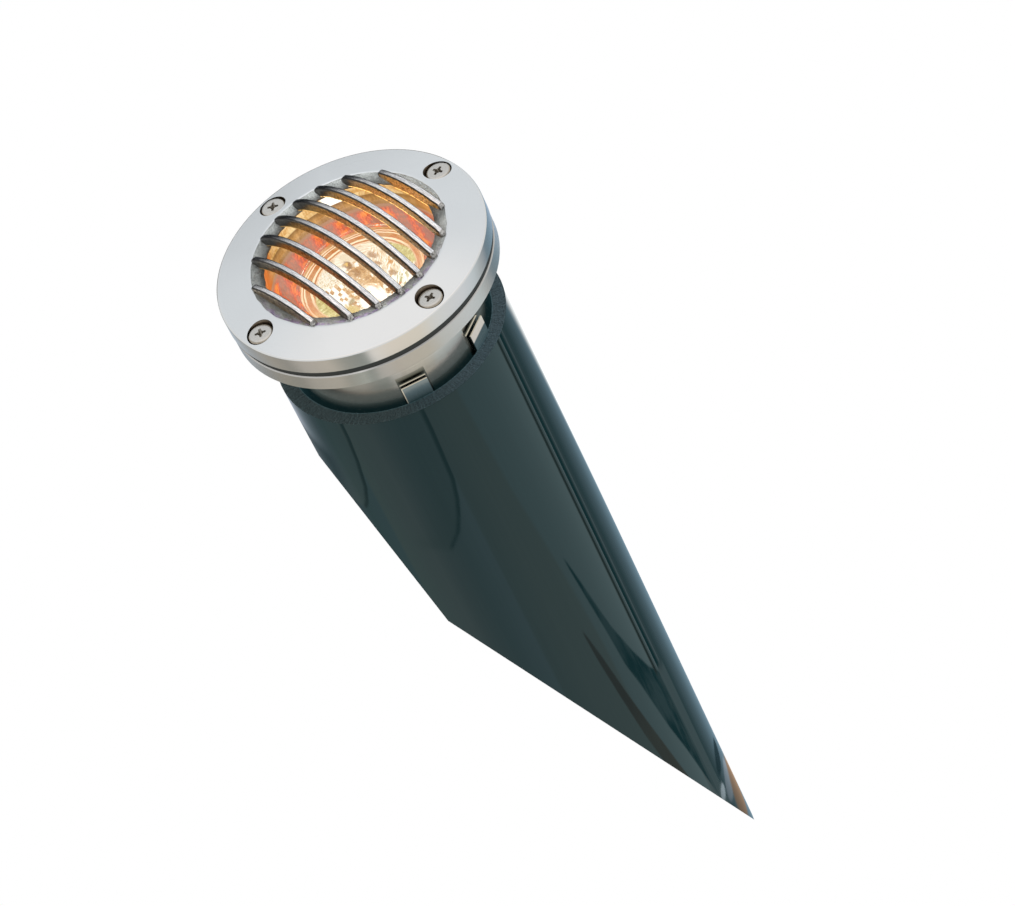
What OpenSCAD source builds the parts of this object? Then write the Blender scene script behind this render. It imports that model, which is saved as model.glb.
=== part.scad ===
// In-ground well light: a grilled lamp housing held by spring clips in a buried tube sleeve.
// Origin at the centre of the sleeve's upper rim, +Z up the axis, grille bars along X.
// The fixture is shown drawn up out of the sleeve by "lift"; at lift 0 its flange sits on the rim.

/* [Sleeve] */
// Outer diameter of the tube
sleeve_od = 88.9; // [84:0.1:96]
// Wall of the tube
sleeve_wall = 5.5; // [4.5:0.1:6.5]
// Length from the rim to the blunt tip
sleeve_length = 335; // [325:1:345]
// Depth below the rim where the shallow side cut starts
side_cut_start = 35; // [30:1:50]
// Angle of the side cut to the axis
side_cut_angle = 7; // [5:0.1:8]
// Direction that the side cut faces
side_cut_turn = -104.3; // [-115:0.1:-95]
// Depth below the rim where the steep point cut starts
point_cut_start = 104; // [95:1:115]
// Angle of the point cut to the axis
point_cut_angle = 19.7; // [18.5:0.1:21]
// Direction that the point cut faces
point_cut_turn = -89.8; // [-100:0.1:-80]

/* [Housing] */
// Height of the flange's underside above the sleeve rim, as shown
lift = 26.8; // [1:0.1:40]
// Radial gap between the housing body and the sleeve bore
body_gap = 2.35; // [2:0.05:3]
// Wall of the housing body
body_wall = 1.8; // [1.6:0.1:2.4]
// Depth of the housing body below the flange
body_depth = 90; // [88:1:110]
// Thickness of the housing floor
floor_t = 4; // [3.5:0.1:6]
// Thickness of the flange
flange_t = 6.7; // [5:0.1:9]
// Reach of the cap past the outside of the sleeve
cap_overhang = 6.95; // [6.5:0.05:9]
// Step of the flange inside the cap's edge
flange_step = 0.3; // [0.1:0.1:1]
// Thickness of the flange gasket
gasket_t = 2.5; // [1.5:0.1:4]
// Step of the gasket inside the flange's edge
gasket_step = 0.5; // [0.2:0.1:1.5]

/* [Grille cap] */
// Height of the cap's edge
cap_t = 6.8; // [6.2:0.1:9]
// Rise of the face from its edge to the cast ring
face_rise = 2.6; // [1:0.1:4]
// Radius of the light opening
opening_r = 32.5; // [30:0.1:33]
// Width of the rough cast ring round the opening
ring_w = 4.7; // [3.5:0.1:5]
// Fall of the cast ring towards the opening
ring_drop = 0.85; // [0.3:0.05:1.2]
// Rounding of the face's outer edge
face_round = 0.6; // [0.2:0.1:1.2]
// Number of bars
bar_count = 8; // [4:1:10]
// Distance between bars
bar_pitch = 9.19; // [6.5:0.01:9.3]
// Thickness of a bar
bar_w = 2.2; // [1.6:0.1:3]
// Height of a bar
bar_h = 4.4; // [3:0.1:5]
// Rounding of a bar's top edges
bar_round = 0.7; // [0.2:0.05:0.75]
// Radius of the dome that the bars' tops follow
dome_r = 66; // [55:1:100]
// Stand of the bars' ends above the cast ring's outer edge
bar_end_stand = 1; // [0.4:0.1:2]

/* [Lens] */
// Thickness of the lens
lens_t = 4; // [3:0.1:5]
// Bearing of the lens under the cap's ledge
lens_lap = 5.5; // [4.5:0.1:6]
// Thickness of the lens seal
lens_seal_t = 1; // [0.6:0.1:1.6]

/* [Cap screws] */
// Diameter of the screw circle
screw_circle_d = 90; // [88:0.1:91]
// Diameter of a screw head
screw_head_d = 9.6; // [8:0.1:10]
// Height of a screw head
screw_head_h = 3.4; // [3:0.1:3.8]
// Diameter of a screw shank
screw_d = 5; // [4:0.1:5.5]
// Depth of the heads below the face around them
screw_sink = 0.45; // [0.2:0.05:0.8]
// Gap round a head in its counterbore
screw_head_gap = 0.65; // [0.4:0.05:0.8]

/* [Spring clips] */
// Width of a clip
clip_w = 10.2; // [8:0.1:12]
// Thickness of the clip strip
clip_t = 0.5; // [0.3:0.05:0.7]
// Angle of the clips to either side of the bars' direction
clip_turn = 24.5; // [20:0.5:40]
// Drop from the flange to the top of the inner leg
clip_top_drop = 19.6; // [12:0.1:22]
// Drop from the inner leg's top to the outer leg's top
clip_leg_step = 0; // [0:0.1:3]
// Length of a clip from top to bend
clip_length = 22; // [16:0.5:30]
// Depth of the flat that seats a clip
clip_flat_depth = 0.7; // [0.5:0.05:0.8]
// Clearance between a clip's corners and the sleeve bore
clip_gap = 0.3; // [0.2:0.05:0.5]

/* [Lamp] */
// Diameter of the lamp's rim
lamp_d = 50; // [45:0.5:50]
// Gap from the lens down to the lamp's rim
lamp_gap = 6; // [5.5:0.1:10]
// Depth of the lamp's glass from rim to neck end
reflector_depth = 26; // [24:0.5:28]
// Height of the straight lip at the rim
lip_h = 3; // [2:0.1:4]
// Wall of the reflector
reflector_wall = 1.5; // [1:0.1:2]
// Radius of the reflector's neck
neck_r = 8.5; // [8:0.1:9]
// Thickness of the lamp's front glass
front_glass_t = 1.2; // [0.8:0.1:1.6]
// Radius of the ceramic base
base_r = 9.8; // [9.5:0.1:11]
// Height of the ceramic base below the neck
base_h = 12; // [10:0.5:14]
// Diameter of a lamp pin
pin_d = 1.55; // [1.4:0.05:1.7]
// Distance between the lamp pins
pin_pitch = 5.33; // [5:0.01:6]
// Length of a lamp pin
pin_length = 7; // [5:0.1:8]
// Radius of the quartz capsule
capsule_r = 4.6; // [4:0.1:5.2]

/* [Lamp holder] */
// Length of the socket along the tilt axis
socket_l = 28; // [26:0.5:30]
// Width of the socket
socket_w = 18; // [16:0.5:19]
// Height of the socket
socket_h = 15.5; // [14:0.5:18]
// Drop from the socket's top to the tilt axis
tilt_drop = 7; // [6:0.1:8]
// Thickness of the cradle strap
cradle_t = 1; // [0.8:0.1:1.5]
// Thickness of the lamp bracket
bracket_t = 1.2; // [1:0.1:2]
// Width of the bracket's arms and the cradle's ears
strap_w = 10; // [9:0.5:12]
// Diameter of a tilt screw
tilt_screw_d = 4; // [3:0.1:4.5]
// Diameter of a lead
lead_d = 1.8; // [1.5:0.1:2.2]

/* [Cable gland] */
// Width across flats of the gland's hexagons
gland_af = 20; // [19:0.5:22]
// Radius of the gland's threads
gland_thread_r = 8; // [7.5:0.1:8.5]
// Radius of the cable hole in the seal
cable_r = 3.5; // [2.5:0.1:4]
// Height of the gland body's hexagon
gland_hex_h = 6; // [4:0.1:8]
// Height of the locknut
locknut_h = 4; // [3:0.1:5]
// Height of the clamping nut
gland_nut_h = 11; // [9:0.1:14]

/* [Hidden] */
$fn = 96;

// Small clearances and overruns shared by several pieces
overrun = 1;
seat_fit = 0.1;
running_fit = 0.05;
moving_gap = 0.3;

// Sleeve
sleeve_r = sleeve_od / 2;
sleeve_bore_r = sleeve_r - sleeve_wall;
cut_reach = 2 * sleeve_length;

// Housing
body_r = sleeve_bore_r - body_gap;
bore_r = body_r - body_wall;
cap_r = sleeve_r + cap_overhang;
flange_r = cap_r - flange_step;
gasket_r = flange_r - gasket_step;
flange_top = lift + flange_t;
gasket_top = flange_top + gasket_t;
floor_under = lift - body_depth;
floor_top = floor_under + floor_t;
edge_chamfer = 0.4;
floor_chamfer = 1.5;

// Grille cap
face_z = gasket_top + cap_t;
ring_r = opening_r + ring_w;
ring_z = face_z + face_rise;
opening_z = ring_z - ring_drop;
bar_end_inset = 0.3;
bar_end_r = ring_r - bar_end_inset;
// Depth by which the two outermost bars are taller, so that they stand on the cast ring
bar_root = 1.4;
dome_z = ring_z + bar_end_stand - sqrt(dome_r * dome_r - bar_end_r * bar_end_r);
face_round_steps = 5;

// Lens
lens_r = opening_r + lens_lap;
lens_fit = 0.4;
lens_top = gasket_top + lens_t;
lens_chamfer = 0.4;
seal_top = lens_top + lens_seal_t;
seal_inset = 2;

// Cap screws
screw_circle_r = screw_circle_d / 2;
face_slope = face_rise / (cap_r - ring_r);
screw_head_top = face_z + face_slope * (cap_r - screw_circle_r) - screw_sink;
screw_seat_z = screw_head_top - screw_head_h;
screw_count = 4;
screw_tip_share = 0.18;
screw_tip_z = lift + flange_t * screw_tip_share;
head_round_share = 0.35;
recess_length_share = 0.52;
recess_width_share = 0.12;
recess_depth_share = 0.5;

// Spring clips
clip_flat_r = body_r - clip_flat_depth;
clip_corner_r = sleeve_bore_r - clip_gap;
clip_out_r = sqrt(clip_corner_r * clip_corner_r - clip_w * clip_w / 4);
clip_top = lift - clip_top_drop;
clip_bend_r = (clip_out_r - clip_flat_r) / 2;
clip_bend_z = clip_top - clip_length + clip_bend_r;
clip_flat_side = 0.5;
clip_flat_above = 4;
clip_turns = [clip_turn, -clip_turn, 180 - clip_turn, 180 + clip_turn];

// Lamp, hung down from the lens
lamp_r = lamp_d / 2;
lamp_z = gasket_top - lamp_gap;
neck_z = lamp_z - reflector_depth;
neck_h = 5;
bowl_steps = 14;
bowl_power = 0.55;
base_under = neck_z - base_h;
base_rim_share = 0.75;
pinch_w = 6;
pinch_t = 2.6;
pinch_h = 5.5;
capsule_h = 13;
capsule_wall = 0.8;
filament_r = 0.7;
filament_l = 4.6;
filament_leg_r = 0.25;
filament_reach = filament_l / 2 + filament_leg_r;
// Rise of the solid pinch inside the capsule, where the filament's legs stand
pinch_rise_share = 0.5;
pinch_rise = capsule_r * pinch_rise_share;
lip_seat = 0.8;

// Lamp holder
socket_top = base_under;
socket_under = socket_top - socket_h;
tilt_z = socket_top - tilt_drop;
pin_bite = 4;
pin_fit = 0.05;
contact_wall = 0.45;
contact_h = 6;
contact_d = pin_d + 2 * pin_fit + 2 * contact_wall;
contact_z = socket_top - pin_length + seat_fit;
cradle_gap = 1.2;
ear_in = socket_l / 2 + cradle_gap;
ear_out = ear_in + cradle_t;
arm_in = ear_out + moving_gap;
arm_out = arm_in + bracket_t;
tilt_head_r_share = 0.85;
tilt_head_h_share = 0.6;
socket_screw_d = 3;
socket_screw_head_r = 2.7;
socket_screw_head_h = 1.8;
socket_screw_bite = 5;
socket_screw_share = 0.32;
socket_screw_y = socket_l * socket_screw_share;
connector_r = 2.4;
// Shares of the room between the cable gland and the cradle: the gap under the connectors, and their length
connector_gap_share = 19 / 99;
connector_length_share = 10 / 27;
connector_lap_share = 4 / 11;
bracket_ring_r_share = 0.86;
bracket_ring_r = bore_r * bracket_ring_r_share;
bracket_bore_inset = 2.2;
bracket_ring_bore = arm_in - bracket_bore_inset;
bracket_screw_x = (bracket_ring_r + bracket_ring_bore) / 2;
bracket_screw_d = 4;
bracket_screw_head_r = 3.6;
bracket_screw_head_h = 2.4;
bracket_screw_tip_share = 0.3;

// Cable gland
gland_bore_gap = 1.3;
gland_bore_r = cable_r + gland_bore_gap;
washer_t = 1.2;
washer_w = 2;
gland_hex_top = floor_under - washer_t;
gland_hex_under = gland_hex_top - gland_hex_h;
gland_shank_top = floor_top + locknut_h + overrun;
connector_room = socket_under - cradle_t - gland_shank_top;
connector_under = gland_shank_top + connector_room * connector_gap_share;
connector_h = connector_room * connector_length_share;
connector_lap = connector_h * connector_lap_share;
lead_under = connector_under + connector_h - connector_lap;
gland_spigot_h = 8;
gland_spigot_under = gland_hex_under - gland_spigot_h;
seal_pocket_wall = 1.6;
seal_r = gland_thread_r - seal_pocket_wall;
seal_h = 7;
seal_stand = 0.6;
nut_gap = 0.5;
nut_top = gland_hex_under - nut_gap;
nut_under = nut_top - gland_nut_h;
nut_hole_gap = 0.6;
nut_chamfer = 1.5;

// Radius to the corners of a hexagon of a given width across flats
function hex_corner_r(af) = af / sqrt(3);

// Points of a quarter round from the top of a flat to the side of a cylinder
function quarter(r, z, round, steps) =
  [for (i = [0:steps]) [r - round + round * sin(90 * i / steps), z - round + round * cos(90 * i / steps)]];

// Outline radius of the reflector's bowl at a share of its height, from neck to lip
function bowl_r(share, inset) = neck_r - inset + (lamp_r - neck_r) * pow(share, bowl_power);

// A half-space block that a sloped cut takes off the tube
module sloped_cut(start, angle, turn) {
  rotate([0, 0, turn]) translate([sleeve_r, 0, -start]) rotate([0, angle, 0])
    translate([0, -cut_reach / 2, -cut_reach]) cube([cut_reach, cut_reach, 2 * cut_reach]);
}

module hexagon(af, h) {
  cylinder(r = hex_corner_r(af), h = h, $fn = 6);
}

// Repeats its children at every cap screw
module at_cap_screws() {
  for (i = [0:screw_count - 1]) rotate([0, 0, i * 360 / screw_count]) translate([screw_circle_r, 0, 0]) children();
}

module sleeve() {
  color("darkslategray")
  difference() {
    translate([0, 0, -sleeve_length]) cylinder(r = sleeve_r, h = sleeve_length);
    translate([0, 0, -sleeve_length - overrun]) cylinder(r = sleeve_bore_r, h = sleeve_length + 2 * overrun);
    sloped_cut(side_cut_start, side_cut_angle, side_cut_turn);
    sloped_cut(point_cut_start, point_cut_angle, point_cut_turn);
  }
}

// The cup: floor, wall and flange, with a lip inside the gasket that the lens rests on
module housing_cup() {
  color("lightgray")
  difference() {
    rotate_extrude() polygon([
      [0, floor_under], [body_r - floor_chamfer, floor_under], [body_r, floor_under + floor_chamfer],
      [body_r, lift], [flange_r - edge_chamfer, lift], [flange_r, lift + edge_chamfer],
      [flange_r, flange_top - edge_chamfer], [flange_r - edge_chamfer, flange_top],
      [lens_r, flange_top], [lens_r, gasket_top], [bore_r, gasket_top], [bore_r, floor_top], [0, floor_top]
    ]);
    translate([0, 0, floor_under - overrun]) cylinder(r = gland_thread_r + seat_fit, h = floor_t + 2 * overrun);
    at_cap_screws() translate([0, 0, screw_tip_z - edge_chamfer])
      cylinder(d = screw_d + 2 * seat_fit, h = flange_top - screw_tip_z + edge_chamfer + overrun);
    for (side = [-1, 1]) translate([side * bracket_screw_x, 0, floor_under + floor_t * bracket_screw_tip_share])
      cylinder(d = bracket_screw_d + 2 * seat_fit, h = floor_t);
    for (turn = clip_turns) rotate([0, 0, turn]) clip_flat();
  }
}

// The shallow flat milled in the housing's side behind a clip
module clip_flat() {
  translate([clip_flat_r, -clip_w / 2 - clip_flat_side, clip_top - clip_length - clip_flat_side])
    cube([body_gap + clip_flat_depth, clip_w + 2 * clip_flat_side, clip_length + clip_flat_side + clip_flat_above]);
}

module flange_gasket() {
  color("black")
  difference() {
    translate([0, 0, flange_top]) cylinder(r = gasket_r, h = gasket_t);
    translate([0, 0, flange_top - overrun]) cylinder(r = lens_r + lens_fit, h = gasket_t + 2 * overrun);
    at_cap_screws() translate([0, 0, flange_top - overrun])
      cylinder(d = screw_d + 2 * seat_fit, h = gasket_t + 2 * overrun);
  }
}

module lens() {
  color("lightcyan", 0.5)
  rotate_extrude() polygon([
    [0, gasket_top], [lens_r - lens_chamfer, gasket_top], [lens_r, gasket_top + lens_chamfer],
    [lens_r, lens_top - lens_chamfer], [lens_r - lens_chamfer, lens_top], [0, lens_top]
  ]);
}

module lens_seal() {
  color("black")
  translate([0, 0, lens_top]) difference() {
    cylinder(r = lens_r, h = lens_seal_t);
    translate([0, 0, -overrun]) cylinder(r = opening_r + seal_inset, h = lens_seal_t + 2 * overrun);
  }
}

// One arched bar of the grille in the plane at y, with its height h
module grille_bar(y, h) {
  arc_r = sqrt(dome_r * dome_r - y * y);
  half_turn = asin(bar_end_r / arc_r);
  translate([0, y, dome_z]) rotate([90, 0, 0]) rotate([0, 0, 90 - half_turn])
    rotate_extrude(angle = 2 * half_turn) translate([arc_r, 0]) bar_profile(h);
}

// Section of a bar, its top to the right: square foot, rounded top edges
module bar_profile(h) {
  translate([-h, -bar_w / 2]) square([h - bar_round, bar_w]);
  translate([-h, -bar_w / 2 + bar_round]) square([h, bar_w - 2 * bar_round]);
  for (side = [-1, 1]) translate([-bar_round, side * (bar_w / 2 - bar_round)]) circle(r = bar_round);
}

module grille_cap() {
  color("silver")
  difference() {
    union() {
      rotate_extrude() polygon(concat(
        [[opening_r, opening_z], [ring_r, ring_z]],
        quarter(cap_r, face_z, face_round, face_round_steps),
        [[cap_r, gasket_top], [lens_r + lens_fit, gasket_top], [lens_r + lens_fit, seal_top], [opening_r, seal_top]]
      ));
      intersection() {
        for (i = [0:bar_count - 1])
          grille_bar((i - (bar_count - 1) / 2) * bar_pitch, bar_h + (i == 0 || i == bar_count - 1 ? bar_root : 0));
        translate([0, 0, seal_top]) cylinder(r = bar_end_r, h = dome_z + dome_r - seal_top);
      }
    }
    at_cap_screws() {
      translate([0, 0, screw_seat_z]) cylinder(r = screw_head_d / 2 + screw_head_gap, h = ring_z - screw_seat_z);
      translate([0, 0, gasket_top - overrun]) cylinder(d = screw_d + 2 * seat_fit, h = cap_t);
    }
  }
}

// A pan-head screw, its head's underside at zero and its shank pointing down
module pan_screw(head_r, head_h, shank_d, shank_l) {
  round = head_h * head_round_share;
  difference() {
    rotate_extrude() polygon(concat([[0, head_h]], quarter(head_r, head_h, round, face_round_steps),
      [[head_r, 0], [shank_d / 2, 0], [shank_d / 2, -shank_l], [0, -shank_l]]));
    for (turn = [45, 135]) rotate([0, 0, turn])
      translate([-head_r * recess_length_share, -head_r * recess_width_share, head_h * (1 - recess_depth_share)])
        cube([2 * head_r * recess_length_share, 2 * head_r * recess_width_share, head_h]);
  }
}

module cap_screws() {
  color("gainsboro")
  at_cap_screws() translate([0, 0, screw_seat_z])
    pan_screw(screw_head_d / 2, screw_head_h, screw_d, screw_seat_z - screw_tip_z);
}

// A hairpin of spring strip: inner leg on the housing's flat, bend at the bottom, outer leg to the sleeve
module spring_clip(turn) {
  color("whitesmoke")
  rotate([0, 0, turn]) translate([0, clip_w / 2, 0]) rotate([90, 0, 0]) linear_extrude(height = clip_w) {
    translate([clip_flat_r, clip_bend_z]) square([clip_t, clip_top - clip_bend_z]);
    translate([clip_out_r - clip_t, clip_bend_z]) square([clip_t, clip_top - clip_leg_step - clip_bend_z]);
    translate([clip_flat_r + clip_bend_r, clip_bend_z]) difference() {
      circle(r = clip_bend_r);
      circle(r = clip_bend_r - clip_t);
      translate([-2 * clip_bend_r, 0]) square([4 * clip_bend_r, 2 * clip_bend_r]);
    }
  }
}

// Points of the bowl from neck to lip, drawn in from the outline by an inset
function bowl_points(inset) = [for (i = [0:bowl_steps])
  [bowl_r(i / bowl_steps, inset), neck_z + neck_h + (reflector_depth - neck_h - lip_h) * i / bowl_steps]];

// The same points from lip back to neck
function bowl_points_back(inset) = [for (i = [0:bowl_steps]) bowl_points(inset)[bowl_steps - i]];

module lamp_reflector() {
  color("lightyellow")
  rotate_extrude() polygon(concat(
    [[neck_r - reflector_wall, neck_z], [neck_r, neck_z]],
    bowl_points(0),
    [[lamp_r, lamp_z], [lamp_r - lip_seat, lamp_z], [lamp_r - lip_seat, lamp_z - front_glass_t],
     [lamp_r - reflector_wall, lamp_z - front_glass_t]],
    bowl_points_back(reflector_wall)
  ));
}

module lamp_front_glass() {
  color("lightcyan", 0.4)
  translate([0, 0, lamp_z - front_glass_t]) cylinder(r = lamp_r - lip_seat - seat_fit, h = front_glass_t);
}

module lamp_capsule() {
  color("white", 0.5)
  translate([0, 0, neck_z]) {
    translate([-pinch_w / 2, -pinch_t / 2, 0]) cube([pinch_w, pinch_t, pinch_h + pinch_rise]);
    difference() {
      capsule_body(0);
      capsule_body(capsule_wall);
    }
  }
}

// Round-ended bulb of the capsule, drawn in by an inset
module capsule_body(inset) {
  translate([0, 0, pinch_h + capsule_r]) sphere(r = capsule_r - inset);
  translate([0, 0, pinch_h + capsule_r]) cylinder(r = capsule_r - inset, h = capsule_h - 2 * capsule_r);
  translate([0, 0, pinch_h + capsule_h - capsule_r]) sphere(r = capsule_r - inset);
}

module lamp_filament() {
  color("gold")
  translate([0, 0, neck_z + pinch_h]) {
    for (side = [-1, 1]) translate([side * filament_l / 2, 0, pinch_rise])
      cylinder(r = filament_leg_r, h = capsule_h / 2 - pinch_rise);
    translate([-filament_reach, 0, capsule_h / 2]) rotate([0, 90, 0])
      cylinder(r = filament_r, h = 2 * filament_reach);
  }
}

module lamp_base() {
  color("ivory")
  difference() {
    translate([0, 0, base_under]) cylinder(r = base_r, h = base_h + neck_h * base_rim_share);
    translate([0, 0, neck_z]) cylinder(r = neck_r + seat_fit, h = neck_h);
    at_pins() translate([0, 0, base_under - overrun]) cylinder(d = pin_d + 2 * pin_fit, h = pin_bite + overrun);
  }
}

module at_pins() {
  for (side = [-1, 1]) translate([0, side * pin_pitch / 2, 0]) children();
}

module lamp_pins() {
  color("silver")
  at_pins() translate([0, 0, base_under - pin_length]) cylinder(d = pin_d, h = pin_length + pin_bite);
}

// Stadium outline of the socket
module socket_outline() {
  square([socket_w, socket_l - socket_w], center = true);
  for (side = [-1, 1]) translate([0, side * (socket_l - socket_w) / 2]) circle(d = socket_w);
}

module lamp_socket() {
  color("ivory")
  difference() {
    translate([0, 0, socket_under]) linear_extrude(height = socket_h) socket_outline();
    at_pins() translate([0, 0, socket_top - pin_length - overrun])
      cylinder(d = pin_d + 2 * pin_fit, h = pin_length + 2 * overrun);
    at_pins() translate([0, 0, contact_z - seat_fit])
      cylinder(d = contact_d + 2 * pin_fit, h = contact_h + 2 * seat_fit);
    for (side = [-1, 1]) translate([0, side * socket_screw_y, socket_under - overrun])
      cylinder(d = socket_screw_d + 2 * seat_fit, h = socket_screw_bite + overrun + seat_fit);
  }
}

module socket_contacts() {
  color("goldenrod")
  at_pins() translate([0, 0, contact_z]) difference() {
    cylinder(d = contact_d, h = contact_h);
    translate([0, 0, -overrun]) cylinder(d = pin_d + 2 * pin_fit, h = contact_h + 2 * overrun);
  }
}

// Upright strap with a round top at the tilt axis, from below up, standing in the plane y
module upright_strap(bottom, y, t) {
  translate([0, y, 0]) rotate([-90, 0, 0]) linear_extrude(height = t) {
    translate([-strap_w / 2, -tilt_z]) square([strap_w, tilt_z - bottom]);
    translate([0, -tilt_z]) circle(d = strap_w);
  }
}

module tilt_bore(d, length) {
  translate([0, length, tilt_z]) rotate([90, 0, 0]) cylinder(d = d, h = 2 * length);
}

module socket_cradle() {
  color("silver")
  difference() {
    union() {
      for (turn = [0, 180]) rotate([0, 0, turn]) upright_strap(socket_under - cradle_t, ear_in, cradle_t);
      translate([-strap_w / 2, -ear_out, socket_under - cradle_t]) cube([strap_w, 2 * ear_out, cradle_t]);
    }
    tilt_bore(tilt_screw_d + 2 * running_fit, arm_out + overrun);
    at_pins() translate([0, 0, socket_under - cradle_t - overrun])
      cylinder(d = lead_d + 2 * moving_gap, h = cradle_t + 2 * overrun);
    for (side = [-1, 1]) translate([0, side * socket_screw_y, socket_under - cradle_t - overrun])
      cylinder(d = socket_screw_d + 2 * seat_fit, h = cradle_t + 2 * overrun);
  }
}

module socket_screws() {
  color("gainsboro")
  for (side = [-1, 1]) translate([0, side * socket_screw_y, socket_under - cradle_t]) rotate([180, 0, 0])
    pan_screw(socket_screw_head_r, socket_screw_head_h, socket_screw_d, cradle_t + socket_screw_bite);
}

module socket_leads() {
  color("white")
  at_pins() translate([0, 0, lead_under]) cylinder(d = lead_d, h = socket_under - lead_under);
}

module wire_connectors() {
  color("tan")
  at_pins() translate([0, 0, connector_under]) difference() {
    cylinder(r = connector_r, h = connector_h);
    translate([0, 0, connector_h - connector_lap]) cylinder(d = lead_d + 2 * seat_fit, h = connector_lap + overrun);
  }
}

module tilt_screws() {
  color("gainsboro")
  for (side = [-1, 1]) translate([0, side * (arm_out + moving_gap), tilt_z]) rotate([-side * 90, 0, 0])
    pan_screw(tilt_screw_d * tilt_head_r_share, tilt_screw_d * tilt_head_h_share, tilt_screw_d,
      arm_out + moving_gap - ear_in);
}

module lamp_bracket() {
  color("silver")
  difference() {
    union() {
      translate([0, 0, floor_top]) cylinder(r = bracket_ring_r, h = bracket_t);
      for (turn = [0, 180]) rotate([0, 0, turn]) upright_strap(floor_top, arm_in, bracket_t);
    }
    translate([0, 0, floor_top - overrun]) cylinder(r = bracket_ring_bore, h = bracket_t + 2 * overrun);
    tilt_bore(tilt_screw_d + 2 * running_fit, arm_out + overrun);
    for (side = [-1, 1]) translate([side * bracket_screw_x, 0, floor_top - overrun])
      cylinder(d = bracket_screw_d + 2 * seat_fit, h = bracket_t + 2 * overrun);
  }
}

module bracket_screws() {
  color("gainsboro")
  for (side = [-1, 1]) translate([side * bracket_screw_x, 0, floor_top + bracket_t])
    pan_screw(bracket_screw_head_r, bracket_screw_head_h, bracket_screw_d,
      bracket_t + floor_t * (1 - bracket_screw_tip_share) - seat_fit);
}

module gland_body() {
  color("goldenrod")
  difference() {
    union() {
      translate([0, 0, gland_hex_under]) hexagon(gland_af, gland_hex_h);
      translate([0, 0, gland_spigot_under]) cylinder(r = gland_thread_r, h = gland_shank_top - gland_spigot_under);
    }
    translate([0, 0, gland_spigot_under - overrun])
      cylinder(r = gland_bore_r, h = gland_shank_top - gland_spigot_under + 2 * overrun);
    translate([0, 0, gland_spigot_under - overrun]) cylinder(r = seal_r + seat_fit, h = seal_h + overrun);
  }
}

module gland_washer() {
  color("black")
  translate([0, 0, gland_hex_top]) difference() {
    cylinder(r = gland_thread_r + washer_w, h = washer_t);
    translate([0, 0, -overrun]) cylinder(r = gland_thread_r + seat_fit, h = washer_t + 2 * overrun);
  }
}

module gland_locknut() {
  color("goldenrod")
  translate([0, 0, floor_top]) difference() {
    hexagon(gland_af, locknut_h);
    translate([0, 0, -overrun]) cylinder(r = gland_thread_r + seat_fit, h = locknut_h + 2 * overrun);
  }
}

module gland_seal() {
  color("black")
  translate([0, 0, gland_spigot_under - seal_stand]) difference() {
    cylinder(r = seal_r, h = seal_h + seal_stand);
    translate([0, 0, -overrun]) cylinder(r = cable_r, h = seal_h + seal_stand + 2 * overrun);
  }
}

module gland_nut() {
  color("goldenrod")
  difference() {
    intersection() {
      translate([0, 0, nut_under]) hexagon(gland_af, gland_nut_h);
      rotate_extrude() polygon([
        [0, nut_under], [gland_af / 2 - nut_chamfer, nut_under],
        [hex_corner_r(gland_af), nut_under + 2 * nut_chamfer], [hex_corner_r(gland_af), nut_top], [0, nut_top]
      ]);
    }
    translate([0, 0, gland_spigot_under - seal_stand])
      cylinder(r = gland_thread_r + seat_fit, h = nut_top - gland_spigot_under + seal_stand + overrun);
    translate([0, 0, nut_under - overrun]) cylinder(r = cable_r + nut_hole_gap, h = gland_nut_h);
  }
}

sleeve();
housing_cup();
flange_gasket();
lens();
lens_seal();
grille_cap();
cap_screws();
spring_clip(clip_turns[0]);  // spring_clip_1
spring_clip(clip_turns[1]);  // spring_clip_2
spring_clip(clip_turns[2]);  // spring_clip_3
spring_clip(clip_turns[3]);  // spring_clip_4
lamp_reflector();
lamp_front_glass();
lamp_capsule();
lamp_filament();
lamp_base();
lamp_pins();
lamp_socket();
socket_contacts();
socket_cradle();
socket_screws();
socket_leads();
wire_connectors();
tilt_screws();
lamp_bracket();
bracket_screws();
gland_body();
gland_washer();
gland_locknut();
gland_seal();
gland_nut();
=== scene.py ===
"""In-ground well light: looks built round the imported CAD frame, in metres, in the CAD's own frame."""
import math

import bmesh
import bpy
from mathutils import Matrix, Vector, noise


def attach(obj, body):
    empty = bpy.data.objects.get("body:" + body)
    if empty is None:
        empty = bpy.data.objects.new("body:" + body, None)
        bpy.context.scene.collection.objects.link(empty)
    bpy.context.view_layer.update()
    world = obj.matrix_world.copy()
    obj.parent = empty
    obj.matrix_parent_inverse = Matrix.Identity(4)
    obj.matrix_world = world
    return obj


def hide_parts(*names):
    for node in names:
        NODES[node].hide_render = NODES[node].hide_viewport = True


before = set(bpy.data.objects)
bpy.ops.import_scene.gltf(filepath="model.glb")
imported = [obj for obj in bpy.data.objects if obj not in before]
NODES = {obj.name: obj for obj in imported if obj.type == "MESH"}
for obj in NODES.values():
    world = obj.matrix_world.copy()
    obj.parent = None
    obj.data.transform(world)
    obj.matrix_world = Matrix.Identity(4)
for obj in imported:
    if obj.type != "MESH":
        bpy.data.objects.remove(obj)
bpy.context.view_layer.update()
MM = 0.001
DEGREES = 180 / math.pi

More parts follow.
